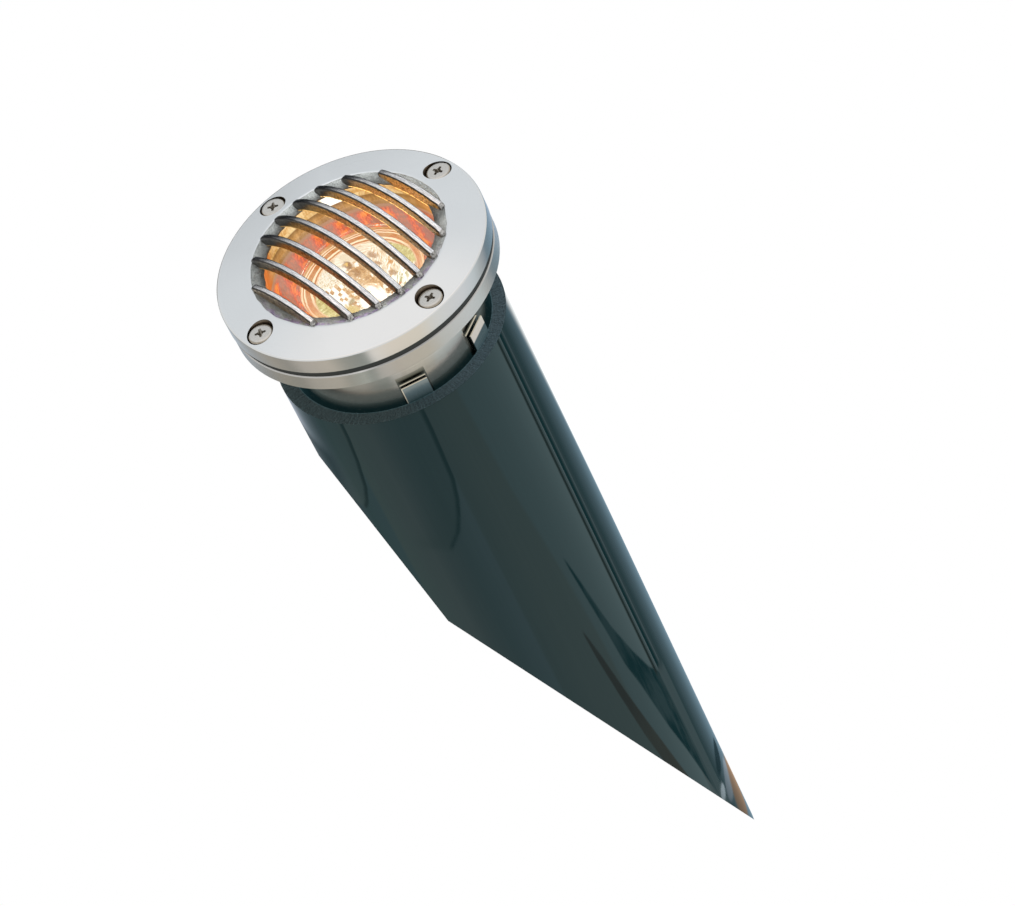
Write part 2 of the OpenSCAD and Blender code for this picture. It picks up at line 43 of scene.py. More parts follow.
# Sizes of the solids and of the pieces made here, in millimetres of the frame
BORE_R, TUBE_R, CUP_BORE_R, CUP_R, SEAT_R, LEDGE_Z, CUP_FLOOR_Z = 38.95, 44.45, 35.0, 36.6, 38.2, 33.4, -59.4
OPEN_R, OPEN_Z, RING_R, RING_Z = 32.5, 44.55, 37.2, 45.4
FACE_R, FACE_Z, CAP_R, CAP_LOW, REC_R, REC_Z = 50.8, 42.8, 51.4, 36.0, 38.4, 41.0
SLOPE = (RING_Z - FACE_Z) / (FACE_R - RING_R)
BARS, BAR_PITCH, BAR_HALF, BAR_H, OUTER_BAR_MORE = 8, 9.19, 1.22, 4.4, 1.4
DOME_R, BAR_END_R, BAR_STAND, BAR_ROUND = 66.0, 36.9, 1.0, 1.3
SCREW_R, SHANK_R, TIP_R, TIP_Z, WELL_R = 45.0, 2.5, 2.2, 28.006, 5.2
HEAD_R, HEAD_H, HEAD_TOP = 4.92, 3.4, 43.58
SEAT = HEAD_TOP - HEAD_H
CLIP_TURN, CLIP_OUT, CLIP_TOP, CLIP_HALF = math.radians(24.5), 38.31, 7.2, 5.1
LAMP_R, LAMP_Z, NECK_R, NECK_Z, BOWL_LOW, BOWL_TOP = 25.0, 30.0, 8.5, 4.0, 9.0, 27.0
GLASS_Z, WALL, POWER, FACET_ROWS, FACET_COLS = 28.8, 1.5, 0.55, 18, 72
ROW_STEP = (LAMP_R - NECK_R) / FACET_ROWS


class Value:
    """What a socket gives. With +, -, *, / and abs it adds math nodes to its tree."""

    def __init__(self, tree, socket):
        self.tree, self.socket = tree, socket

    def __add__(self, other):
        return self.tree.math("ADD", self, other)

    def __radd__(self, other):
        return self.tree.math("ADD", other, self)

    def __sub__(self, other):
        return self.tree.math("SUBTRACT", self, other)

    def __rsub__(self, other):
        return self.tree.math("SUBTRACT", other, self)

    def __mul__(self, other):
        return self.tree.math("MULTIPLY", self, other)

    def __rmul__(self, other):
        return self.tree.math("MULTIPLY", other, self)

    def __truediv__(self, other):
        return self.tree.math("DIVIDE", self, other)

    def __abs__(self):
        return self.tree.math("ABSOLUTE", self)


class Tree:
    """Short forms for one node tree. An input may be a number, a tuple, a socket or a Value."""

    def __init__(self, tree):
        self.t = tree
        self.t.nodes.clear()

    def add(self, kind, **given):
        """A node. Names with a leading underscore are its settings, the others its inputs."""
        node = self.t.nodes.new(kind)
        for key, value in given.items():
            if key.startswith("_"):
                setattr(node, key[1:], value)
            else:
                self.put(node.inputs[key.replace("_", " ")], value)
        return node

    def put(self, socket, value):
        if isinstance(value, Value):
            value = value.socket
        if isinstance(value, bpy.types.NodeSocket):
            self.t.links.new(value, socket)
        elif isinstance(value, (int, float)) and hasattr(socket.default_value, "__len__"):
            socket.default_value = [value] * len(socket.default_value)
        elif isinstance(value, (tuple, list)) and len(value) == 3 and len(socket.default_value) == 4:
            socket.default_value = (*value, 1)
        else:
            socket.default_value = value

    def fill(self, node, values, output=0):
        """Sets the node's first inputs and gives one of its outputs."""
        for i, value in enumerate(values):
            self.put(node.inputs[i], value)
        return Value(self, node.outputs[output])

    def math(self, op, *args):
        return self.fill(self.add("ShaderNodeMath", _operation=op), args)

    def vec(self, op, *args):
        node = self.add("ShaderNodeVectorMath", _operation=op)
        return self.fill(node, args, "Value" if op == "DOT_PRODUCT" else "Vector")

    def step(self, x, lo, hi):
        """0 before lo, 1 beyond hi, smooth between."""
        return self.fill(self.add("ShaderNodeMapRange", _interpolation_type="SMOOTHSTEP"), (x, lo, hi))

    def mix(self, fac, a, b, mode="MIX"):
        node = self.add("ShaderNodeMix", _data_type="RGBA", _blend_type=mode)
        for i, value in ((0, fac), (6, a), (7, b)):
            self.put(node.inputs[i], value)
        return Value(self, node.outputs[2])

    def times(self, a, b):
        """Product of two colours."""
        return self.mix(1.0, a, b, "MULTIPLY")

    def ramp(self, fac, stops):
        """Tones or colours at places from 0 to 1, with straight lines between them."""
        node = self.add("ShaderNodeValToRGB")
        elements = node.color_ramp.elements
        while len(elements) < len(stops):
            elements.new(0.5)
        for element, (place, _) in zip(elements, stops):
            element.position = place
        for element, (_, tone) in zip(elements, stops):
            element.color = (tone, tone, tone, 1) if isinstance(tone, (int, float)) else (*tone, 1)
        return self.fill(node, [fac])

    def noise(self, vector, scale=1.0, detail=3, rough=0.6, colour=False):
        node = self.add("ShaderNodeTexNoise", Vector=vector, Scale=scale, Detail=detail, Roughness=rough)
        return Value(self, node.outputs[1 if colour else 0])

    def join(self, x, y, z):
        return self.fill(self.add("ShaderNodeCombineXYZ"), (x, y, z))

    def polar(self, source=None):
        """The place in millimetres, then x, y, z, radius and angle in degrees, riding with the piece."""
        if source is None:
            source = self.add("ShaderNodeTexCoord").outputs["Object"]
        mm = self.vec("MULTIPLY", source, 1 / MM)
        x, y, z = (Value(self, out) for out in self.add("ShaderNodeSeparateXYZ", Vector=mm).outputs)
        r = self.math("SQRT", x * x + y * y)
        a = self.math("ARCTAN2", y, x) * DEGREES
        return mm, x, y, z, r, a

    def bump(self, height, distance, strength=1.0):
        return self.add("ShaderNodeBump", Height=height, Distance=distance, Strength=strength).outputs[0]

    def blend(self, fac, first, second):
        """A shader between two others."""
        both = self.add("ShaderNodeMixShader", Fac=fac)
        self.t.links.new(first.outputs[0], both.inputs[1])
        self.t.links.new(second.outputs[0], both.inputs[2])
        return both

    def show(self, shader, kind="ShaderNodeOutputMaterial"):
        self.t.links.new(shader.outputs[0], self.add(kind).inputs[0])


def material(name):
    m = bpy.data.materials.new(name)
    m.use_nodes = True
    return m, Tree(m.node_tree)


def surface(name):
    """A material, its tree and what Tree.polar gives."""
    m, t = material(name)
    return m, t, *t.polar()


def principled(t, **given):
    """A Principled shader on the output. Plain numbers go straight on its own sockets."""
    t.show(t.add("ShaderNodeBsdfPrincipled", **given))


def metal(t, **given):
    principled(t, Metallic=1.0, **given)


def use(node, mat):
    """Gives a CAD node its one material."""
    o = NODES[node]
    o.data.materials.clear()
    o.data.materials.append(mat)


# Camera, fitted to the photo
CAM_TURN, CAM_AT, SENSOR, LENS, SEE_FROM, SEE_TO = 0.9, (1.004, -0.4492, 0.9921), 36, 143.9, 0.05, 50
cam = bpy.data.objects.new("camera", bpy.data.cameras.new("camera"))
bpy.context.scene.collection.objects.link(cam)
right = Vector((0.65924, 0.68277, -0.31501))
down = Vector((0.38142, -0.66468, -0.64243))
ahead = Vector((-0.64802, 0.30336, -0.69861))
axes = Matrix((right, -down, -ahead)).transposed().to_4x4()
cam.matrix_world = Matrix.Rotation(math.radians(CAM_TURN), 4, "Z") @ Matrix.Translation(CAM_AT) @ axes
cam.data.sensor_width, cam.data.lens = SENSOR, LENS
cam.data.clip_start, cam.data.clip_end = SEE_FROM, SEE_TO
bpy.context.scene.camera = cam

# World, floor, lamp and surround
bpy.context.scene.view_settings.view_transform = "Standard"
world = bpy.data.worlds.new("studio")
bpy.context.scene.world = world
world.use_nodes = True
t = Tree(world.node_tree)


def sees_white(t):
    """1 for the rays that look at the background itself: from the camera, a gloss or clear glass."""
    path = t.add("ShaderNodeLightPath").outputs
    return t.math("MAXIMUM", path["Is Camera Ray"],
                  t.math("MAXIMUM", path["Is Glossy Ray"], path["Is Transmission Ray"]))


soft = t.add("ShaderNodeBackground", Color=(0.97, 0.985, 1.0), Strength=0.72)
white = t.add("ShaderNodeBackground", Color=(1, 1, 1), Strength=1.0)
t.show(t.blend(sees_white(t), soft, white), "ShaderNodeOutputWorld")


def quad(a, b, i, n):
    """A face between the points i and n of two rows, which start at a and b."""
    return a + i, a + n, b + n, b + i


def mesh_object(name, verts, faces, mats):
    """A mesh in metres, in the scene."""
    me = bpy.data.meshes.new(name)
    me.from_pydata(verts, [], faces)
    me.validate()
    o = bpy.data.objects.new(name, me)
    bpy.context.scene.collection.objects.link(o)
    for m in mats:
        me.materials.append(m)
    return o


FLOOR_HALF, FLOOR_Z = 9, -1.25
floor_mat, t = material("floor_pale")
pale = t.add("ShaderNodeBsdfDiffuse", Color=(0.86, 0.86, 0.86))
glow = t.add("ShaderNodeEmission", Color=(1, 1, 1), Strength=1.0)
both = t.blend(sees_white(t), pale, glow)
# Seen from below the floor is clear
t.show(t.blend(t.add("ShaderNodeNewGeometry").outputs["Backfacing"], both,
               t.add("ShaderNodeBsdfTransparent")))
corners = ((-1, -1), (1, -1), (1, 1), (-1, 1))
floor = mesh_object("floor", [(x * FLOOR_HALF, y * FLOOR_HALF, FLOOR_Z) for x, y in corners], [(0, 1, 2, 3)],
                    [floor_mat])

SOFTBOX_AT, SOFTBOX_SIDE, SOFTBOX_RADIANCE = (-0.3, 0.14, 1.45), 1.1, 0.3
light = bpy.data.lights.new("softbox_top", "AREA")
light.shape, light.size, light.size_y = "RECTANGLE", SOFTBOX_SIDE, SOFTBOX_SIDE
light.energy = SOFTBOX_RADIANCE * math.pi * SOFTBOX_SIDE ** 2
light.color = (1.0, 0.72, 0.52)
lamp = bpy.data.objects.new("softbox_top", light)
lamp.location = SOFTBOX_AT
lamp.rotation_euler = (-Vector(SOFTBOX_AT)).to_track_quat("-Z", "Y").to_euler()
bpy.context.scene.collection.objects.link(lamp)

# A ring of soft panels round the object, which only gloss sees: long soft stripes on tube and steel
PANEL_R, PANEL_LOW, PANEL_TOP, PANEL_SEGS, SEEN_AT = 0.45, -1.15, 0.02, 96, 23.8
wall_mat, t = material("panels")
mm, x, y, z, r, a = t.polar(t.add("ShaderNodeNewGeometry").outputs["Position"])
rel = t.math("WRAP", a + SEEN_AT, 180, -180)
at = (rel + 180) / 360


def by_turn(stops):
    """Colours of the surround at angles in degrees from the side of the camera."""
    return t.ramp(at, [((angle + 180) / 360, colour) for angle, colour in stops])


upper = by_turn([
    (-180, (0.6, 0.68, 0.78)), (-150, (0.52, 0.58, 0.64)), (-122, (0.44, 0.45, 0.45)),
    (-100, (0.46, 0.42, 0.36)), (-86, (0.38, 0.36, 0.32)), (-74, (0.58, 0.53, 0.47)),
    (-52, (0.66, 0.59, 0.5)), (-40, (0.42, 0.41, 0.36)), (-24, (0.33, 0.35, 0.32)),
    (-19, (1.0, 0.94, 0.88)), (-4, (0.98, 0.88, 0.76)), (20, (0.96, 0.87, 0.74)), (34, (0.92, 0.91, 0.88)),
    (62, (0.88, 0.89, 0.92)), (80, (0.74, 0.8, 0.83)), (93, (0.52, 0.55, 0.56)), (101, (0.4, 0.44, 0.48)),
    (107, (0.2, 0.28, 0.33)), (125, (0.25, 0.37, 0.46)), (150, (0.4, 0.52, 0.66)), (180, (0.6, 0.68, 0.78))])
middle = by_turn([
    (-180, (0.3, 0.33, 0.35)), (-122, (0.22, 0.22, 0.2)), (-93, (0.36, 0.34, 0.28)),
    (-77, (0.24, 0.225, 0.19)), (-60, (0.12, 0.12, 0.1)), (-46, (0.13, 0.13, 0.11)),
    (-24, (0.4, 0.39, 0.33)), (14, (0.34, 0.31, 0.24)), (32, (0.35, 0.32, 0.28)), (60, (0.34, 0.325, 0.31)),
    (82, (0.5, 0.5, 0.47)), (96, (0.8, 0.78, 0.74)), (108, (0.4, 0.43, 0.44)), (180, (0.34, 0.38, 0.4))])
# Angle in degrees and height in millimetres on the tube, where a place on the panels is seen
PHI_SHARE, PHI_LESS, DEEP_MORE, DEEP_SHARE = 0.5115, 24.6, 381, 0.722
phi = rel * PHI_SHARE - PHI_LESS
deep = (z + DEEP_MORE) * DEEP_SHARE


def side_of(along, across, soft):
    """0 before a line, 1 beyond it."""
    return t.step(along - across, -soft, soft)


def curve(x, points, low, high):
    """Height of a line drawn through points, between the heights low and high."""
    first, last = points[0][0], points[-1][0]
    share = (x - first) / (last - first)
    tone = t.ramp(share, [((px - first) / (last - first), (py - low) / (high - low)) for px, py in points])
    return tone * (high - low) + low


lower = by_turn([
    (-180, (0.55, 0.62, 0.68)), (-156, (0.4, 0.47, 0.52)), (-140, (0.36, 0.44, 0.5)),
    (-122, (0.2, 0.26, 0.29)), (-108, (0.17, 0.26, 0.26)), (-91, (0.28, 0.4, 0.42)),
    (-88, (0.38, 0.48, 0.44)), (-60, (0.55, 0.62, 0.6)), (-46, (0.46, 0.54, 0.54)),
    (-30, (0.42, 0.54, 0.56)), (-9, (0.58, 0.74, 0.8)), (-6, (0.5, 0.6, 0.58)), (16, (0.6, 0.7, 0.66)),
    (60, (0.58, 0.68, 0.64)), (89, (0.6, 0.74, 0.74)), (104, (0.2, 0.26, 0.28)), (112, (0.1, 0.17, 0.19)),
    (122, (0.19, 0.29, 0.34)), (142, (0.27, 0.42, 0.52)), (180, (0.25, 0.37, 0.46))])
blue_from = curve(deep, [(-330, 3.0), (-160, 1.0), (-110, -2.0), (-60, -6.5), (0, -9.0)], -10, 10)
zone = t.step(phi - blue_from, -1.2, 1.2) * t.step(phi, 22.4, 21.6)
lower = t.mix(zone, lower, (0.62, 0.83, 0.86))
# Grey right end that turns white towards the top
white_edge = deep * -0.115 + 42.5
lower = t.mix(t.step(phi - white_edge, 0, 9), lower, (1.6, 1.65, 1.65))
lower = t.mix(t.step(phi, -95, -104), lower, (0.52, 0.58, 0.67))
left_shade = t.step(phi, -82, -92) * t.step(deep, -25, -37)
lower = t.mix(left_shade * 0.85, lower, (0.07, 0.1, 0.11))
# Round shade under the rim, in two bows: reach in degrees and the line of the edge
BOWS = ((18.0, [(-60, -82.0), (-54, -77.9), (-43, -73.3), (-27, -69.7), (-13, -67.9), (0, -67.4)]),
        (24.0, [(-75, -46.0), (-65, -38.0), (-57, -34.4), (-49, -31.5), (-38, -29.0), (-11, -27.5),
                (0, -27.3)]))
for reach, points in BOWS:
    near = phi - curve(deep, points, -90, -20)
    lowest = points[0][0]
    above = t.step(deep, lowest - 1, lowest + 3)
    inside = t.step(near, 0.6, -0.6) * t.step(near, -reach, -reach * 0.2) * above
    lower = t.mix(inside * 0.5, lower, (0.3, 0.36, 0.33))
    rim_line = t.step(near, 1.0, 0.3) * t.step(near, -2.2, -0.4) * above
    lower = t.mix(rim_line * 0.9, lower, (0.07, 0.07, 0.06))
# Dark crescent that widens down and right, and a brown one left of it
from_left = curve(deep, [(-292, 26.5), (-272, 22.7), (-250, 19), (-228, 14.5), (-196, 10), (-179, 6.9),
                         (-157, 5.5), (-140, 4.0), (-105, 1.2)], 0, 30)
to_right = curve(deep, [(-292, 27), (-206, 25.4), (-196, 20), (-179, 14.5), (-157, 9.1), (-140, 6.6),
                        (-125, 4.6), (-105, 1.6)], 0, 30)
dark = side_of(phi, from_left, 0.5) * (1 - side_of(phi, to_right, 0.5))
dark = dark * (t.step(deep, -106, -112) * t.step(deep, -292, -286))
patchy = t.noise(t.join(phi * 0.22, deep * 0.035, 2))
lower = t.mix(dark * (0.7 + t.step(patchy, 0.62, 0.38) * 0.3), lower, (0.0, 0.06, 0.08))
brown_at = curve(deep, [(-260, 8.9), (-244, 6.3), (-217, 2.0), (-190, -1.5), (-165, -4.2), (-146, -6.2)],
                 -10, 10)
brown_half = curve(deep, [(-260, 3.0), (-217, 2.5), (-190, 1.8), (-165, 1.3), (-146, 0.3)], 0, 4)
off_brown = abs(phi - brown_at) - brown_half
brown = t.step(off_brown, 0.5, -0.3) * t.step(deep, -144, -148)
lower = t.mix(brown, lower, t.mix(t.step(deep, -190, -225), (0.3, 0.15, 0.09), (0.4, 0.29, 0.2)))
# Two thin bright strokes with dark ones between: angle, half width, colour and strength
STROKES = ((23.4, 1.2, (0.08, 0.05, 0.03), 1.0), (26.8, 2.2, (0.0, 0.05, 0.06), 1.0),
           (25.6, 0.6, (0.62, 0.78, 0.82), 1.0), (29.6, 0.6, (0.4, 0.52, 0.56), 0.8))
down_to = t.step(deep, -207, -203)
for place, half, colour, share in STROKES:
    mark = t.step(abs(phi - place), half, half * 0.35)
    lower = t.mix(mark * down_to * share, lower, colour)
tail = t.step(abs(phi - 28.5), 4.5, 3.0) * t.step(deep, -206, -211)
lower = t.mix(tail * 0.6, lower, (0.34, 0.46, 0.48))
# Highlight, dark and pale spot and brown patch near the tip: angle, height, half widths and colour
SPOTS = ((31, -296, 4.0, 3.5, (1.6, 1.9, 2.1)), (43, -288, 9, 5, (0.03, 0.06, 0.08)),
         (43, -304, 10, 7, (0.62, 0.74, 0.86)), (51, -321, 13, 16, (0.6, 0.37, 0.215)))
for angle, level, wide, high, colour in SPOTS:
    dp, dd = (phi - angle) / wide, (deep - level) / high
    spot = t.step(dp * dp + dd * dd, 1.3, 0.6)
    lower = t.mix(spot * 0.9, lower, colour)
colour = t.mix(t.step(z, -384, -376), lower, middle)
colour = t.mix(t.step(z, -373, -352), colour, upper)
t.show(t.add("ShaderNodeEmission", Color=colour, Strength=1.0))


def band(name, radius, turns, heights, mat, closed):
    """Upright faces about the axis between two heights, which only glossy rays see."""
    count = len(turns)
    points = [(radius * math.cos(th), radius * math.sin(th), z) for z in heights for th in turns]
    faces = [quad(0, count, i, (i + 1) % count) for i in range(count if closed else count - 1)]
    o = mesh_object(name, points, faces, [mat])
    for ray in ("camera", "diffuse", "transmission", "shadow", "volume_scatter"):
        setattr(o, "visible_" + ray, False)
    return o


wall = band("panels", PANEL_R, [2 * math.pi * i / PANEL_SEGS for i in range(PANEL_SEGS)],
            (PANEL_LOW, PANEL_TOP), wall_mat, True)

# A dark card on the far side, for the shade that the cap's face reflects there
CARD_R, CARD_LOW, CARD_TOP, CARD_FROM, CARD_STEP, CARD_POINTS = 0.44, -0.17, 0.205, 132, 4, 16
card_mat, t = material("dark_card")
mm, x, y, z, r, a = t.polar(t.add("ShaderNodeNewGeometry").outputs["Position"])
colour = t.mix(t.step(z, 95, CARD_TOP / MM), (0.02, 0.025, 0.03), (1, 1, 1))
t.show(t.add("ShaderNodeEmission", Color=colour, Strength=1.0))
turns = [math.radians(CARD_FROM + CARD_STEP * i) for i in range(CARD_POINTS)]
card = band("card", CARD_R, turns, (CARD_LOW, CARD_TOP), card_mat, False)

# Sleeve: smooth dark plastic, with saw marks where the wall is cut, a painted lighter side on the sawn rim
# and a faint painted glow inside
sleeve_mat, t, mm, x, y, z, r, a = surface("sleeve_pvc")
nrm = t.add("ShaderNodeNewGeometry").outputs["True Normal"]
radial = t.vec("NORMALIZE", t.join(x, y, 0))
side = abs(t.vec("DOT_PRODUCT", nrm, radial))
sawn = 1 - t.step(side, 0.5, 0.9)
grit = t.noise(mm, 1.6, 4, 0.65)
marks = t.noise(t.join(a * 0.9, r * 0.12, z * 0.2))
faint = t.noise(t.join(a * 0.6, 0, z * 0.012), 1.0, 2, 0.5)
body = t.mix(faint, (0.009, 0.028, 0.031), (0.012, 0.034, 0.037))
grit = t.step(grit * 0.6 + marks * 0.4, 0.3, 0.7)
sawn_tone = t.mix(grit, (0.016, 0.032, 0.034), (0.078, 0.13, 0.138))
# The sawn rim is painted lighter from -50 to 20 degrees round the axis: painted light
sawn_tone = t.mix(t.step(a, -50, 20), sawn_tone, t.mix(grit, (0.026, 0.058, 0.07), (0.13, 0.205, 0.245)))
colour = t.mix(sawn, body, sawn_tone)
# The bore's inner wall has a faint painted glow, which stands for light on it
painted_bore_glow = t.step(r, BORE_R + 0.45, BORE_R + 0.25) * t.step(z, -60, 0)
rough = sawn * 0.6 + (0.015 + faint * 0.03)
height = sawn * (grit + marks)
outer_wall = t.step(side, 0.97, 0.99) * t.step(r, TUBE_R - 2.45, TUBE_R - 1.95)
round_normal = t.mix(outer_wall, t.add("ShaderNodeNewGeometry").outputs["Normal"], radial)
dented = t.add("ShaderNodeBump", Height=height, Distance=0.0003, Strength=0.8,
               Normal=round_normal).outputs["Normal"]
principled(t, Base_Color=colour, Roughness=rough, IOR=1.5, Specular_IOR_Level=0.36, Normal=dented,
           Emission_Color=(0.006, 0.019, 0.022), Emission_Strength=painted_bore_glow)


def steel(name, tone, rough, lines, strokes=False, far=False):
    """Fine steel: turned rings or straight strokes; where far is set, painted light makes the far side
    lighter.
    """
    m, t, mm, x, y, z, r, a = surface(name)
    across = t.join(x * 0.4, y * 9, z * 9) if strokes else t.join(r * 9, a * 0.03, z * 9)
    grain = t.noise(across, 1.0, 3, 0.7)
    cloud = t.noise(mm, 0.05, 2, 0.5)
    colour = t.mix(grain * 0.5 + cloud * 0.5, tuple(c * 0.93 for c in tone), tuple(c * 1.05 for c in tone))
    if far:
        # Painted light: lighter or darker by the angle round the axis
        painted_light_lift = t.ramp(t.math("WRAP", a, 360, 0) / 360,
                      [(0.0, 0.76), (0.22, 0.76), (0.3, 0.83), (0.35, 0.88), (0.42, 1.0), (0.455, 0.94),
                       (0.53, 0.82), (0.58, 0.75), (1.0, 0.76)])
        colour = t.times(t.times(colour, (1.316, 1.316, 1.316)), painted_light_lift)
    metal(t, Base_Color=colour, Roughness=rough - 0.04 + grain * 0.08, Normal=t.bump(grain, 0.00002, lines))
    return m


face_mat = steel("face_steel", (0.64, 0.675, 0.7), 0.29, 0.25, far=True)
side_mat = steel("side_steel", (0.66, 0.67, 0.665), 0.16, 0.2)
screw_mat = steel("screw_steel", (0.5, 0.505, 0.5), 0.24, 0.3)


def from_screw(t, x, y):
    """Distance from the nearest cap screw's axis, in millimetres."""
    ax, ay = abs(x), abs(y)
    du, dv = t.math("MAXIMUM", ax, ay) - SCREW_R, t.math("MINIMUM", ax, ay)
    return t.math("SQRT", du * du + dv * dv)


# Screws: turned heads and the wells that they stand in, with painted shade on the heads' shoulders and in
# the wells
head_mat, t, mm, x, y, z, r, a = surface("screw_head")
d = from_screw(t, x, y)
turned = t.noise(t.join(d * 2.4, a * 0.02, 1), 1.0, 2, 0.6)
smear = t.noise(mm, 1.1, 3, 0.6)
tone = t.mix(turned * 0.6 + smear * 0.4, (0.37, 0.37, 0.36), (0.63, 0.63, 0.61))
# The head's rounded shoulder is painted darker and browner: painted shade
shoulder_painted_shade = t.mix(smear, (0.2, 0.17, 0.13), (0.52, 0.46, 0.38))
metal(t, Base_Color=t.mix(t.step(d, 4.0, 4.5), tone, shoulder_painted_shade), Roughness=0.26,
      Normal=t.bump(turned, 0.0001, 0.7))
well_mat, t, mm, x, y, z, r, a = surface("screw_well")
# The wells are painted dim brown, painted shade in the recess, mottled by noise
well_shade_mottle = t.noise(mm, 0.9, 3, 0.6)
metal(t, Base_Color=t.mix(well_shade_mottle, (0.13, 0.1, 0.075), (0.36, 0.31, 0.25)), Roughness=0.35,
      Normal=t.bump(well_shade_mottle, 0.0001, 0.6))

# Clips: along and out are measured on the clip's own strip, and rim is its bright edge, a painted highlight
clip_mat, t, mm, x, y, z, r, a = surface("clip_steel")
ax, ay = abs(x), abs(y)
out = ax * math.cos(CLIP_TURN) + ay * math.sin(CLIP_TURN)
along = ay * math.cos(CLIP_TURN) - ax * math.sin(CLIP_TURN)
# Painted light: the clips on this side are painted as lit
painted_lit_side = t.step(y, -1, 1)
grain = t.noise(t.join(x * 3, y * 3, z * 0.3), 1.0, 3, 0.7)
front = t.step(out, CLIP_OUT - 0.08, CLIP_OUT - 0.04)
rim = t.math("MAXIMUM", t.step(z, CLIP_TOP - 0.1, CLIP_TOP - 0.04),
             front * ((1 - painted_lit_side) * t.step(z, -3, 5) * t.step(along, CLIP_HALF - 0.42, CLIP_HALF - 0.22)))
# The clip's face glows with painted light: dark low down, lighter towards the top on the lit side
face = t.mix(t.step(z, -2, 7), (0.008, 0.018, 0.02), (0.085, 0.125, 0.14))
face = t.mix(painted_lit_side, face, t.mix(t.step(z, 3.2, 3.9), (0.055, 0.085, 0.095), (0.56, 0.53, 0.48)))
face = t.times(face, t.mix(grain, (0.75, 0.75, 0.75), (1.2, 1.2, 1.2)))
lit = t.math("MAXIMUM", front, rim)
metal(t, Base_Color=t.mix(lit, t.mix(grain, (0.62, 0.61, 0.58), (0.72, 0.71, 0.68)), (0.2, 0.2, 0.19)),
      Roughness=0.2, Emission_Color=t.mix(rim, face, (0.47, 0.425, 0.33)),
      Emission_Strength=lit * t.step(z, -3, 0))
inner_mat = steel("inner_steel", (0.55, 0.55, 0.53), 0.3, 0.2, strokes=True)


def plain(name, lo, hi, rough, scale, metallic=0.0):
    """A mottled material with a faint grain."""
    m, t, mm, x, y, z, r, a = surface(name)
    n = t.noise(mm, scale, 4, 0.6)
    principled(t, Base_Color=t.mix(n, lo, hi), Roughness=rough, Metallic=metallic,
               Normal=t.bump(n, 0.00004, 0.6))
    return m


rubber_mat = plain("gasket_rubber", (0.012, 0.015, 0.014), (0.03, 0.034, 0.031), 0.55, 1.4)
ceramic_mat = plain("ceramic", (0.74, 0.7, 0.62), (0.82, 0.78, 0.7), 0.6, 0.8)
brass_mat = plain("gland_brass", (0.6, 0.42, 0.18), (0.68, 0.5, 0.24), 0.28, 0.6, 1.0)
sleeving_mat = plain("lead_sleeve", (0.72, 0.7, 0.64), (0.84, 0.82, 0.76), 0.7, 4.0)
connector_mat = plain("connector", (0.5, 0.36, 0.22), (0.6, 0.45, 0.3), 0.5, 1.0)

glass_mat, t = material("lens_glass")
principled(t, Base_Color=(0.97, 0.99, 0.98), Roughness=0.0, IOR=1.33, Transmission_Weight=1.0)
lamp_glass_mat, t = material("lamp_glass")
principled(t, Base_Color=(1.0, 0.98, 0.94), Roughness=0.0, IOR=1.2, Transmission_Weight=1.0)

glow_mat, t = material("lamp_glow")
principled(t, Base_Color=(0.9, 0.8, 0.5), Emission_Color=(1.0, 0.86, 0.62), Emission_Strength=3.0)

# Rough casting: dark pits and lighter grains
cast_mat, t, mm, x, y, z, r, a = surface("cast_steel")
grain = t.noise(mm, 2.4, 5, 0.8)
blotch = t.noise(mm, 0.3, 2, 0.5)
speck = t.step(grain * 0.75 + blotch * 0.25, 0.3, 0.7)
tint = t.step(t.noise(mm, 0.35, 3, 0.6), 0.38, 0.58) * t.step(abs(a + 40), 75, 50)
tint = tint * t.step(r, 34.4, 36.2)
ring_tone = t.mix(tint, t.mix(speck, (0.14, 0.155, 0.155), (0.52, 0.55, 0.545)),
                  t.mix(speck, (0.1, 0.07, 0.15), (0.5, 0.43, 0.6)))
# Painted light and shade: darker towards the opening, and lighter or darker by the side round the axis
painted_light_lift = t.ramp((r - 32) / 5.5, [(0.0, 0.38), (0.25, 0.55), (0.5, 0.82), (0.8, 1.0), (1.0, 0.95)])
painted_side_light = t.ramp(t.math("WRAP", a, 360, 0) / 360,
                 [(0.0, 1.0), (0.14, 1.0), (0.16, 0.55), (0.18, 0.6), (0.205, 1.0), (0.36, 1.0),
                  (0.42, 1.15), (0.52, 1.1), (0.57, 0.86), (0.62, 0.7), (0.78, 0.7), (0.83, 1.14),
                  (0.94, 1.16), (1.0, 1.0)])
metal(t, Base_Color=t.times(t.times(ring_tone, (1.7, 1.7, 1.7)), painted_light_lift * painted_side_light), Roughness=0.5,
      Normal=t.bump(grain, 0.0004, 0.9))

# Bars: side, line below the top, lit lower edge, top and ends, with painted light and shade
BAR_REACH = 37


def along_bar(stops):
    """Tones from one end of the longest bars, at 0, to the other, at 1."""
    return t.ramp((x + BAR_REACH) / (2 * BAR_REACH), stops)


bar_side_mat, t, mm, x, y, z, r, a = surface("bar_side")
grain = t.noise(mm, 1.1, 4, 0.7)
# Painted shade along the bar: dark at the left ends
along = along_bar([(0.0, 0.1), (0.16, 0.14), (0.3, 0.75), (0.55, 0.85), (0.75, 0.42), (1.0, 0.36)])
side_tone = t.mix(t.step(grain, 0.34, 0.66), (0.075, 0.06, 0.045), (0.56, 0.48, 0.345))
